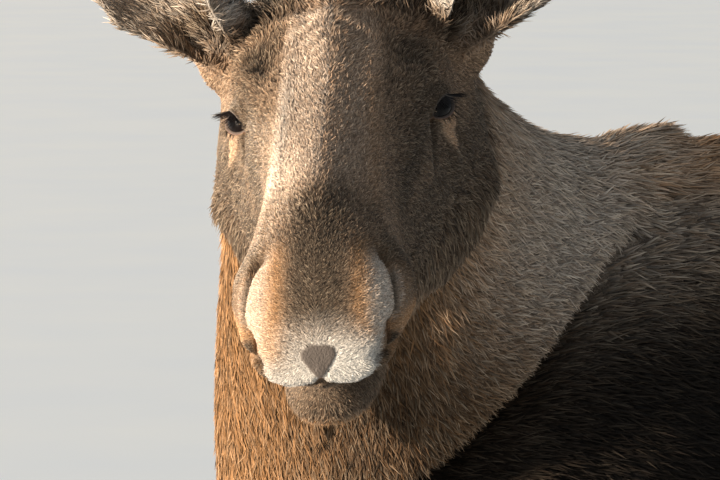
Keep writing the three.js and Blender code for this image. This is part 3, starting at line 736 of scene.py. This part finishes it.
def store_marks(mesh, marks, tip, tint):
    """Puts markings, the place along the hair and its own tint on a mesh's points."""
    colours = np.concatenate((marks, tip[:, None], tint), 1).astype(np.float32)
    for name, columns in (("marks", colours[:, :4]), ("hair", colours[:, 4:])):
        layer = mesh.attributes.new(name, "FLOAT_COLOR", "POINT")
        layer.data.foreach_set("color", np.ascontiguousarray(columns).ravel())


# ---- Materials ----


def linear(hex_colour):
    """A linear colour from an sRGB hex value."""
    parts = [int(hex_colour[k:k + 2], 16) / 255 for k in (1, 3, 5)]
    return [*(p / 12.92 if p <= 0.04045 else ((p + 0.055) / 1.055) ** 2.4 for p in parts), 1]


def socket_of(sockets, name):
    """A node's input or output, by its place, its name or its identifier."""
    if isinstance(name, int):
        return sockets[name]
    return next(socket for socket in sockets if name in (socket.identifier, socket.name))


def fill(made, inputs):
    """Gives each of a node's inputs its value, or links it to another node's output."""
    for name, value in inputs.items():
        socket = socket_of(made.inputs, name)
        if isinstance(value, bpy.types.NodeSocket):
            made.id_data.links.new(value, socket)
        else:
            socket.default_value = value


def node(tree, kind, inputs=(), out=0, **settings):
    """Adds a node with its settings and gives one of its outputs. Its inputs go by name, or in order."""
    made = tree.nodes.new(f"ShaderNode{kind}")
    for name, value in settings.items():
        setattr(made, name, value)
    fill(made, inputs if isinstance(inputs, dict) else dict(enumerate(inputs)))
    return socket_of(made.outputs, out)


def new_material(name):
    made = bpy.data.materials.new(name)
    made.use_nodes = True
    return made, made.node_tree, made.node_tree.nodes["Principled BSDF"]


MIXED = {"data_type": "RGBA", "out": "Result_Color"}  # a mix of two colours
FACE_BROWN = linear("#8f745c")
FACE_DEEP = linear("#43332a")
TAN = linear("#c68f58")
BODY_BLACK = linear("#130f0c")
GRIZZLE = linear("#d8c2a6")
PALE = linear("#e6dfd4")
LEATHER = linear("#5b524b")
PINK_SKIN = linear("#a9796b")
PUPIL = (0.30, 0.13, 1e6)  # half of its width and height, as shares of the eye's radius, and no depth


def coat_colour(tree):
    """The coat's colour from its markings, with the mottling of single hairs and of larger patches."""
    marks = node(tree, "Attribute", attribute_name="marks").node.outputs
    hair = node(tree, "Attribute", attribute_name="hair").node.outputs
    pale, tan, dark = node(tree, "SeparateColor", (marks["Color"],)).node.outputs[:3]
    bare, tip, tint = node(tree, "SeparateColor", (hair["Color"],)).node.outputs[:3]
    place = node(tree, "TexCoord", out="Object")
    patches = node(tree, "TexNoise", {"Vector": place, "Scale": 1 / (26 * MM), "Detail": 3.0}, "Fac")
    patchy = node(tree, "Math", (patches, 0.63, -0.1575), operation="MULTIPLY_ADD")
    dull = node(tree, "Math", (1.0, tint), operation="SUBTRACT")
    dullest = node(tree, "Math", (dull, 2.0), operation="POWER")
    deep = node(tree, "Math", (dullest, 0.8, patchy), operation="MULTIPLY_ADD")
    near_tip = node(tree, "Math", (tip, 0.8), operation="POWER")
    lit_tip = node(tree, "Math", (near_tip, hair["Alpha"]), operation="MULTIPLY")
    grizzled = node(tree, "Math", (lit_tip, marks["Alpha"]), operation="MULTIPLY")
    colour = FACE_BROWN
    for share, over in ((deep, FACE_DEEP), (tan, TAN), (dark, BODY_BLACK), (grizzled, GRIZZLE), (pale, PALE)):
        colour = node(tree, "Mix", {"Factor_Float": share, "A_Color": colour, "B_Color": over}, **MIXED)
    own_light = node(tree, "Math", (tint, 0.9, 0.55), operation="MULTIPLY_ADD")
    light_along = node(tree, "Math", (tip, 0.7, 0.5), operation="MULTIPLY_ADD")
    light = node(tree, "Math", (own_light, light_along), operation="MULTIPLY")
    colour = node(tree, "Mix", {"Factor_Float": 1.0, "A_Color": colour, "B_Color": light},
                  blend_type="MULTIPLY", **MIXED)
    naked = node(tree, "Mix", {"Factor_Float": tan, "A_Color": LEATHER, "B_Color": PINK_SKIN}, **MIXED)
    return node(tree, "Mix", {"Factor_Float": bare, "A_Color": colour, "B_Color": naked}, **MIXED), bare


def coat_material():
    """Winter guard hair: dry, dark at the root and lighter at the tip, with a faint sheen along the lie."""
    made, tree, shader = new_material("guard_hair")
    colour, _ = coat_colour(tree)
    fill(shader, {"Base Color": colour, "Roughness": 0.62, "Specular IOR Level": 0.1,
                  "Sheen Weight": 0.03, "Sheen Roughness": 0.4})
    return made


def skin_material():
    """Skin under dense underfur: matt and streaky in the coat's colours, with bare leathery places."""
    made, tree, shader = new_material("underfur_on_skin")
    colour, bare = coat_colour(tree)
    place = node(tree, "TexCoord", out="Object")
    streaks = node(tree, "TexNoise", {"Vector": place, "Scale": 700.0, "Detail": 2.0}, "Fac")
    lightness = node(tree, "Math", (streaks, 2.4, -0.3), operation="MULTIPLY_ADD")
    streaky = node(tree, "Mix", {"Factor_Float": 1.0, "A_Color": colour, "B_Color": lightness},
                   blend_type="MULTIPLY", **MIXED)
    furred = node(tree, "Mix", {"Factor_Float": bare, "A_Color": streaky, "B_Color": colour}, **MIXED)
    grain = node(tree, "TexNoise", {"Vector": place, "Scale": 1 / (1.6 * MM), "Detail": 2.0}, "Fac")
    smoother = node(tree, "Math", (bare, -0.4, 0.85), operation="MULTIPLY_ADD")
    rough = node(tree, "Math", (grain, 0.15, smoother), operation="MULTIPLY_ADD")
    bump = node(tree, "Bump", {"Height": grain, "Strength": 0.6, "Distance": 0.0015})
    fill(shader, {"Base Color": furred, "Roughness": rough, "Specular IOR Level": 0.3, "Normal": bump})
    return made


def eye_material():
    """Wet eye: a near-black brown iris with a level slot of a pupil, under a clear glossy film."""
    made, tree, shader = new_material("wet_eye")
    gaze = node(tree, "Attribute", out="Vector", attribute_name="gaze")
    in_pupils = node(tree, "VectorMath", (gaze, PUPIL), operation="DIVIDE")
    slot = node(tree, "VectorMath", (in_pupils,), "Value", operation="LENGTH")
    pupil = node(tree, "Math", (slot, 1.0), operation="LESS_THAN")
    sideways = node(tree, "VectorMath", (gaze, (1, 1, 0)), operation="MULTIPLY")
    ring = node(tree, "VectorMath", (sideways,), "Value", operation="LENGTH")
    edge = node(tree, "MapRange", {"Value": ring, "From Min": 0.55, "From Max": 0.68})
    place = node(tree, "TexCoord", out="Object")
    fibres = node(tree, "TexNoise", {"Vector": place, "Scale": 1 / (1.2 * MM), "Detail": 3.0}, "Fac")
    colour = linear("#090605")
    for share, shade in ((fibres, "#170d08"), (edge, "#1d1310"), (pupil, "#060404")):
        over = linear(shade)
        colour = node(tree, "Mix", {"Factor_Float": share, "A_Color": colour, "B_Color": over}, **MIXED)
    fill(shader, {"Base Color": colour, "Roughness": 0.25, "Specular IOR Level": 0.1, "Coat Weight": 0.5,
                  "Coat IOR": 1.25, "Coat Roughness": 0.08})
    return made


def horn_material():
    """Hoof horn: dark, worn smooth, with growth rings about 5 mm apart that run level."""
    made, tree, shader = new_material("hoof_horn")
    place = node(tree, "TexCoord", out="Object")
    rings = node(tree, "TexWave", {"Vector": place, "Scale": 32.0, "Distortion": 1.5, "Detail": 2.0,
                                   "Detail Scale": 1.5}, "Fac", wave_type="BANDS", bands_direction="Z")
    wear = node(tree, "TexNoise", {"Vector": place, "Scale": 1 / (14 * MM), "Detail": 4.0}, "Fac")
    colour = node(tree, "Mix", {"Factor_Float": wear, "A_Color": linear("#17120f"),
                                "B_Color": linear("#4a3f37")}, **MIXED)
    rough = node(tree, "Math", (wear, 0.3, 0.35), operation="MULTIPLY_ADD")
    bump = node(tree, "Bump", {"Height": rings, "Strength": 0.5, "Distance": 0.001})
    fill(shader, {"Base Color": colour, "Roughness": rough, "Normal": bump})
    return made


def mottled_material(name, lump_mm, darker, lighter, settings):
    """A dull material whose colour wanders between two, in lumps of so many millimetres."""
    made, tree, shader = new_material(name)
    place = node(tree, "TexCoord", out="Object")
    lumps = node(tree, "TexNoise", {"Vector": place, "Scale": 1 / (lump_mm * MM), "Detail": 2.0}, "Fac")
    colour = node(tree, "Mix", {"Factor_Float": lumps, "A_Color": linear(darker),
                                "B_Color": linear(lighter)}, **MIXED)
    fill(shader, {"Base Color": colour, **settings})
    return made


# ---- Coat: closed locks of hair rooted in the skin ----

random = np.random.default_rng(SEED)


def lie_of_coat(points, kinds):
    """The way the hair runs at places on the skin, before it is laid against the skin."""
    local = to_head(points)
    x, y, z = local.T
    side = np.sign(x)
    head, neck, trunk, tail, ear, leg = kinds.T
    upper = step(z, -20, 50)
    low = step(-z, 70, 120)
    front = step(-y, 385, 430)
    above_nose = step(z, -48, -38)
    waves = 0.6 * np.sin(x * 0.09 + 1.3 * np.sin(y * 0.05)) * step(y, -60, 10) * upper
    on_head = np.stack((
        side * (0.2 + 0.25 * (1 - upper)) + 0.022 * x * front + waves,
        (1.0 - 0.25 * (1 - upper) - 0.35 * low) * (1 - 0.7 * front),
        -0.55 * (1 - upper) * (1 - front) - 1.1 * low + front * (1.3 * above_nose - 0.7) - 0.1,
    ), 1)
    lie = (on_head @ HEAD_TURN.T) * head[:, None]
    flip = np.stack((side, np.ones_like(side), np.ones_like(side)), 1)
    on_ear = EAR_TURN @ (0.15, -0.1, 1.0) * flip
    lie += (on_ear @ HEAD_TURN.T) * ear[:, None]
    throat = 1 - step(behind_throat(points), 0.0, 0.2)
    on_neck = np.stack((np.full_like(x, -0.3), 0.95 - 0.5 * throat, -0.2 - 1.2 * throat), 1)
    lie += on_neck * neck[:, None]
    under = step(-points[:, 2], -1.5, -1.1)
    on_trunk = np.stack((np.zeros_like(x), np.ones_like(x), -0.4 - 0.4 * under), 1)
    lie += on_trunk * trunk[:, None]
    lie += np.array((0.0, 0.12, -1.0)) * (leg + tail)[:, None]
    return unit(lie)


def laid(directions, outward):
    """Directions pressed into the plane of the skin."""
    flat = directions - outward * np.sum(directions * outward, 1, keepdims=True)
    return unit(flat)


def unwrapped(points, middle, axis, cap):
    """Places on an unwrap of the skin round a straight axis: the turn round it, and the way along it.
    The distance from the axis counts as way along, so that the blunt end of the shape spreads out."""
    axis = unit(np.asarray(axis, float))
    first = unit(np.cross(axis, (0.31, 0.2, 0.93)))
    second = np.cross(axis, first)
    rest = points - middle
    u, v, along = rest @ first, rest @ second, rest @ axis
    turn = np.arctan2(v, u) / (2 * math.pi) + 0.5
    way = along + cap * np.hypot(u, v)
    way = (way - way.min()) / (way.max() - way.min())
    return 0.01 + 0.98 * np.stack((turn, way), 1)


# Shapes of a closed lock: each point's way along it, and its places sideways and outwards in half-widths.
# The fine one is bowed outwards across its middle; the full one has a ridge along it.
FINE = {
    "points": ((0, 0, -0.4), (0.35, -1, 0.3), (0.35, 1, 0.3), (1, 0, 0)),
    "faces": ((0, 1, 2), (1, 3, 2), (0, 3, 1), (0, 2, 3)),
}
FULL = {
    "points": ((0, 0, -0.3), (0.3, -1, -0.4), (0.3, 0, 0.5), (0.3, 1, -0.4), (1, 0, 0)),
    "faces": ((0, 1, 2), (0, 2, 3), (0, 3, 1), (1, 4, 2), (2, 4, 3), (3, 4, 1)),
}
BENT_RINGS = ((0.2, 1), (0.5, 0.8), (0.8, 0.5))  # how far along a bent lock each lies, and its half-width
RING = ((-1, -0.4), (0, 1), (1, -0.4))
BENT = {
    "points": ((0, 0, 0),
               *((at, c * girth, o * girth) for at, girth in BENT_RINGS for c, o in RING),
               (1, 0, 0)),
    "faces": ((0, 1, 2), (0, 2, 3), (0, 3, 1),
              *((r + a, r + 3 + a, r + 3 + b) for r in (1, 4) for a, b in ((0, 1), (1, 2), (2, 0))),
              *((r + a, r + 3 + b, r + b) for r in (1, 4) for a, b in ((0, 1), (1, 2), (2, 0))),
              (7, 10, 8), (8, 10, 9), (9, 10, 7)),
}
MOST_FACES = 196000  # of one piece of the coat
PATCH = 0.003  # how wide a lock's own place on the unwrap is


def lock_meshes(name, shape, roots, outward, along, sizes, marks, tint, places, material):
    """Closed locks, one on each root, in pieces under the limit of faces. sizes holds each lock's length
    and width in metres, its lift in radians, and its droop and sway as shares of its length."""
    length, width, lift, droop, sway = sizes
    across = np.cross(outward, along)
    count, per_lock = len(roots), len(shape["points"])
    leaning = random.normal(size=(count, 3)) * 0.22
    points, facing = [], []
    for way, sideways, raised in shape["points"]:
        rise = np.sin(lift) * way - droop * way ** 2
        points.append(roots + (length * np.cos(lift) * way)[:, None] * along
                      + (length * rise + width * (raised / 2 - 0.1))[:, None] * outward
                      + (width * sideways / 2 + sway * way ** 2 * length)[:, None] * across)
        facing.append(unit(outward + leaning + 0.5 * sideways * across + 0.35 * (way - 0.4) * along))
    points, facing = np.stack(points, 1), np.stack(facing, 1)
    ways = np.array([point[0] for point in shape["points"]])
    spots = np.array([(0.5 + 0.5 * sideways, way) for way, sideways, _ in shape["points"]]) * PATCH
    faces = np.array(shape["faces"])
    made = []
    order = np.argsort(places[:, 1], kind="stable")
    for k, chosen in enumerate(np.array_split(order, math.ceil(count * len(faces) / MOST_FACES))):
        number = len(chosen)
        index = (np.arange(number)[:, None, None] * per_lock + faces[None]).reshape(-1, 3)
        mesh = mesh_of(f"{name}_{k + 1}", points[chosen].reshape(-1, 3), index)
        bend = mesh.attributes.new("custom_normal", "FLOAT_VECTOR", "POINT")
        bend.data.foreach_set("vector", facing[chosen].astype(np.float32).ravel())
        store_marks(mesh, np.repeat(marks[chosen], per_lock, 0), np.tile(ways, number),
                    np.repeat(tint[chosen], per_lock, 0))
        spot = (places[chosen][:, None] + spots[None]).reshape(-1, 2)
        layer = mesh.uv_layers.new(name="OFBake")
        layer.data.foreach_set("uv", np.ascontiguousarray(spot[index.ravel()], np.float32).ravel())
        piece = add_object(mesh.name, mesh, material)
        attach(piece, BODY)
        made.append(piece)
    return made


def sown(skin, density):
    """Roots spread over the skin, so many to a square centimetre, with the skin's values there."""
    points, faces, outward, kinds, _ = skin
    _, area = normals(points, faces)
    wanted = area * 1e4 * density[faces].mean(1) * FULLNESS
    count = np.floor(wanted + random.random(len(faces))).astype(int)
    chosen = np.repeat(np.arange(len(faces)), count)
    share = random.dirichlet((1, 1, 1), len(chosen))
    roots, normal, kind = (np.einsum("nk,nkd->nd", share, values[faces[chosen]])
                           for values in (points, outward, kinds))
    return roots, unit(normal), kind


def tints(count):
    """Each lock's own lightness, and how light its tip is."""
    light = random.random(count)
    tipped = np.where(random.random(count) < 0.6, 0.35 + 0.65 * random.random(count), 0.1)
    return np.stack((light, tipped), 1)


# Locks of each kind of flesh: how many to a square centimetre, their length and width in millimetres, how
# far they stand up in degrees, and how much they scatter sideways.
LOCKS = {
    "head": {"dense": 31, "long": 7.8, "wide": 1.0, "lift": 11, "stray": 0.28},
    "neck": {"dense": 15.5, "long": 21, "wide": 1.45, "lift": 10, "stray": 0.26},
    "trunk": {"dense": 1.65, "long": 46, "wide": 5.5, "lift": 10, "stray": 0.2},
    "tail": {"dense": 4, "long": 30, "wide": 3.6, "lift": 10, "stray": 0.2},
    "ear": {"dense": 26, "long": 9, "wide": 1.3, "lift": 9, "stray": 0.3},
    "leg": {"dense": 2.6, "long": 20, "wide": 3.6, "lift": 8, "stray": 0.16},
}
AXES = {
    "head": {"axis": HEAD_TURN[:, 1], "cap": 0.9},
    "neck": {"axis": (0.45, -0.55, 0.7), "cap": 0},
    "trunk": {"axis": (0, 1, 0), "cap": -0.9},
    "tail": {"axis": (0, 0, 1), "cap": 0},
    "ear": {"axis": (0, 0, 1), "cap": 0},
    "leg": {"axis": (0, 0, 1), "cap": 0},
}
# The trunk's locks are finer and closer within reach of the head: in metres, where that ends.
FINER_WITHIN = (0.78, 1.0)


def lock_sizes(roots, share):
    """Length, width, lift and scatter of the locks, in LOCKS' units, and how many more of them there are."""
    size = {name: share @ [LOCKS[kind][name] for kind in KINDS] for name in ("long", "wide", "lift", "stray")}
    place = face_place(roots)
    _, y, z = place.T
    head, neck, trunk, _, ear, _ = share.T
    soft = head * step(-y, 300, 390)
    jaw = head * np.maximum(step(-z, 58, 105) * (1 - step(-y, 300, 380)), 0.7 * step(-z, 92, 112))
    brow = head * step(y, -50, 20) * step(z, 20, 50)
    poll = 1.3 * head * step(y, 50, 85) * step(z, 10, 50)
    mane = 0.6 * (neck + trunk) * step(roots[:, 2], 1.66, 1.73)
    lids = head * bell(np.maximum(np.linalg.norm(place - EYE, axis=1) - LID_RADIUS, 0), 12)
    near = trunk * (1 - step(np.linalg.norm(roots - HEAD_AT, axis=1), *FINER_WITHIN))
    _, _, inside = ear_place(place)
    size["long"] *= (1 - 0.5 * soft) * (1 + 1.7 * jaw) * (1 + 0.15 * brow) * (1 + poll) * (1 - 0.5 * lids)
    size["long"] *= (1 - 0.42 * near) * (1 + 0.5 * ear * (inside > EAR_HOLLOW)) * (1 + 0.35 * mane)
    size["wide"] *= (1 - 0.3 * soft) * (1 + 0.25 * jaw) * (1 - 0.58 * near) * (1 - 0.2 * lids)
    size["lift"] *= (1 + mane) * (1 + 0.7 * jaw) * (1 + 0.3 * brow) * (1 + poll) * (1 - 0.3 * soft)
    more = (1 + 0.7 * soft) * (1 - 0.35 * jaw) * (1 + 0.4 * lids) * (1 + 3.6 * near)
    return size, more


def grow_coat(skin, material):
    points, _, _, kinds, _ = skin
    dense = kinds @ [LOCKS[kind]["dense"] for kind in KINDS] * lock_sizes(points, kinds)[1]
    dense *= markings(points, kinds)[:, 4] < 0.4
    dense *= 1 - (lid_opening(face_place(points)) > -0.09) * near_eyes(LID_RADIUS + 4)(points)
    roots, normal, share = sown(skin, dense)
    size, _ = lock_sizes(roots, share)
    main = share.argmax(1)
    count = len(roots)
    lie = laid(lie_of_coat(roots, share), normal)
    lie = unit(lie + np.cross(normal, lie) * (random.normal(size=count) * size["stray"])[:, None])
    length = size["long"] * random.uniform(0.65, 1.3, count) * MM
    width = size["wide"] * random.uniform(0.7, 1.3, count) * MM
    lift = np.radians(size["lift"] * random.uniform(0.3, 1.8, count))
    droop = np.sin(lift) * 0.4
    sway = random.normal(size=count) * 0.1
    colour = markings(roots, share)
    colour = np.clip(colour + 1.6 * (random.random((count, 1)) - 0.5) * colour * (1 - colour), 0, 1)
    tint = tints(count)
    made = []
    for k, kind in enumerate(KINDS):
        own = np.flatnonzero(main == k)
        groups = side_groups(kind, roots, own) if kind in ("leg", "ear") else {kind: own}
        shape = FULL if kind == "tail" else FINE
        for name, chosen in groups.items():
            places = unwrapped(roots[chosen], roots[chosen].mean(0), AXES[kind]["axis"], AXES[kind]["cap"])
            picked = [values[chosen] for values in (length, width, lift, droop, sway)]
            made += lock_meshes(f"coat_{name}", shape, roots[chosen], normal[chosen], lie[chosen], picked,
                                colour[chosen], tint[chosen], places, material)
    return made


def side_groups(kind, roots, own):
    """The roots of each leg, or of each ear, by itself."""
    if kind == "ear":
        left = to_head(roots[own])[:, 0] > 0
        return {"ear_left": own[left], "ear_right": own[~left]}
    low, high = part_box("trunk")
    middle = (low.x + high.x) / 2
    left = roots[own][:, 0] > middle
    ahead = roots[own][:, 1] < (low.y + high.y) / 2
    return {f"leg_{end}_{side}": own[(ahead == (end == "front")) & (left == (side == "left"))]
            for end in ("front", "rear") for side in SIDES}


# ---- Eyes and lashes ----


def make_eye(side, name, material):
    """A ball with a low bulge for the cornea, and on it the direction of each point from the gaze."""
    ball = bmesh.new()
    bmesh.ops.create_icosphere(ball, subdivisions=5, radius=1.0)
    mesh = bpy.data.meshes.new(f"wet_{name}")
    ball.to_mesh(mesh)
    ball.free()
    direction = unit(positions(mesh))
    rear = unit(np.cross((0, 0, 1), LOOK))
    up = np.cross(LOOK, rear)
    ahead = direction @ LOOK
    bulge = 1 + 0.045 * step(ahead, 0.72, 1.0)
    local = EYE + direction * (EYE_RADIUS * bulge)[:, None]
    local = local * (side, 1, 1)
    mesh.vertices.foreach_set("co", from_head(local).astype(np.float32).ravel())
    if side < 0:
        mesh.flip_normals()
    gaze = np.stack((direction @ rear, direction @ up, ahead), 1)
    layer = mesh.attributes.new("gaze", "FLOAT_VECTOR", "POINT")
    layer.data.foreach_set("vector", gaze.astype(np.float32).ravel())
    mesh.shade_smooth()
    eye = add_object(mesh.name, mesh, material)
    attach(eye, BODY)
    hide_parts(name)
    return eye


# Lashes on the upper and the lower lid: how many, and how long in millimetres.
LASHES = {1: {"count": 90, "reach": 18}, -1: {"count": 24, "reach": 8}}
LASH = {"wide": 0.6, "lift": 0.05, "droop": -0.18}  # mm, radians, and a share of the length: it curls up


def make_lashes(material):
    """Long curved lashes on the upper lids, thick towards the rear, and a few short ones on the lower."""
    rear, up = lid_axes()
    roots, outward, along, length = [], [], [], []
    for side in SIDES.values():
        flip = np.array((side, 1, 1))
        for lid, lashes in LASHES.items():
            for _ in range(lashes["count"]):
                turn = random.uniform(-0.6, 0.95) * LID_OPENING["long"]
                limit = LID_OPENING["up" if lid > 0 else "down"]
                rise = lid * (limit * (1 - (turn / LID_OPENING["long"]) ** 2) ** 0.75 + 0.05)
                level = LOOK * math.cos(turn) + rear * math.sin(turn)
                facing = level * math.cos(rise) + up * math.sin(rise)
                way = facing - up * lid * 0.25 + rear * (0.35 * turn + random.normal() * 0.14) + (0, 0, -0.8)
                across = unit(np.cross(way, up))
                roots.append(from_head((EYE + facing * (LID_RADIUS - 0.4)) * flip))
                outward.append(HEAD_TURN @ (np.cross(across, unit(way)) * flip) * lid)
                along.append(HEAD_TURN @ (unit(way) * flip))
                length.append(lashes["reach"] * random.uniform(0.7, 1.15) * MM)
    count = len(roots)
    roots, outward, along = (np.array(v) for v in (roots, outward, along))
    width, lift, droop = (np.full(count, value) for value in (LASH["wide"] * MM, LASH["lift"], LASH["droop"]))
    sizes = (np.array(length), width, lift, droop, random.normal(size=count) * 0.1)
    places = unwrapped(roots, roots.mean(0), HEAD_TURN[:, 1], 0)
    return lock_meshes("lashes", BENT, roots, outward, along, sizes, np.zeros((count, len(MARKS))),
                       tints(count), places, material)


# ---- Hooves ----


def make_claw(name, material):
    """The claw's solid with its flats rounded off, its sole left flat."""
    work = bmesh.new()
    work.from_mesh(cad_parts[name].data)
    bmesh.ops.remove_doubles(work, verts=work.verts, dist=MERGED_WITHIN)
    mesh = bpy.data.meshes.new(f"horn_{name}")
    work.to_mesh(mesh)
    work.free()
    claw = add_object(mesh.name, mesh, material)
    rounded = claw.modifiers.new("rounded", "BEVEL")
    rounded.width = 0.003
    rounded.segments = 3
    rounded.limit_method = "ANGLE"
    rounded.angle_limit = math.radians(20)
    claw.data = baked(claw, rounded)
    claw.data.name = mesh.name + "_rounded"
    claw.data.shade_smooth()
    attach(claw, BODY)
    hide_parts(name)
    return claw


# ---- Stage and light ----


def add_floor(material):
    reach = 150.0
    mesh = bpy.data.meshes.new("floor")
    corners = [(-reach, -reach, 0), (reach, -reach, 0), (reach, reach, 0), (-reach, reach, 0)]
    mesh.from_pydata(corners, [], [(0, 1, 2, 3)])
    add_object("floor", mesh, material)


def add_sun(name, direction, power, soft, colour):
    """A lamp far off in one direction, as wide across as so many degrees."""
    lamp = bpy.data.lights.new(name, "SUN")
    lamp.energy = power
    lamp.angle = math.radians(soft)
    lamp.color = colour
    holder = bpy.data.objects.new(name, lamp)
    holder.rotation_mode = "QUATERNION"
    holder.rotation_quaternion = Vector(direction).to_track_quat("Z", "Y")
    holder.location = HEAD_AT + unit(np.array(direction)) * 3
    bpy.context.scene.collection.objects.link(holder)


def light_scene():
    """Low warm light from her right, a weak one from behind it, cool light from above and all round."""
    right, up, back = (np.array(v) for v in (CAMERA_RIGHT, CAMERA_UP, CAMERA_BACK))
    add_sun("key", -0.9 * right - 0.04 * up + 0.43 * back, 15.5, 6, (1.0, 0.86, 0.7))
    add_sun("rim", -0.52 * right + 0.36 * up - 0.77 * back, 5.5, 10, (1.0, 0.78, 0.56))
    add_sun("above", 0.25 * right + 0.9 * up + 0.35 * back, 0.45, 50, (0.82, 0.91, 1.0))
    world = bpy.data.worlds.new("studio")
    bpy.context.scene.world = world
    world.use_nodes = True
    world.node_tree.nodes["Background"].inputs["Color"].default_value = (0.84, 0.92, 1.0, 1)
    world.node_tree.nodes["Background"].inputs["Strength"].default_value = 0.15
    bpy.context.scene.view_settings.view_transform = "Standard"


# ---- Assembly ----

SKIN_TIP, SKIN_TINT = 0.3, (0.5, 0.6)  # the skin has the colour of a hair of this tint, this far along it

skin_parts = make_skin()
skin_points, skin_faces, _, skin_kinds, _ = skin_parts
skin_mesh = mesh_of("skin", skin_points, skin_faces)
skin_count = len(skin_points)
store_marks(skin_mesh, markings(skin_points, skin_kinds), np.full(skin_count, SKIN_TIP),
            np.tile(SKIN_TINT, (skin_count, 1)))
skin = add_object("skin", skin_mesh, skin_material())
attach(skin, BODY)
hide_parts(*FLESH)

grow_coat(skin_parts, coat_material())
wet = eye_material()
for side_name, side_sign in SIDES.items():
    make_eye(side_sign, f"eye_{side_name}", wet)
# Lashes are coarse black hair with a slight gloss.
make_lashes(mottled_material("black_hair", 4, "#0b0807", "#1d1512",
                             {"Roughness": 0.5, "Specular IOR Level": 0.25}))
horn = horn_material()
for claw_name in CLAWS:
    make_claw(claw_name, horn)
# The floor is matt paint, pale and a little cool.
add_floor(mottled_material("pale_matt_floor", 900, "#dcedff", "#e8f5ff",
                           {"Roughness": 0.9, "Specular IOR Level": 0.1}))
light_scene()
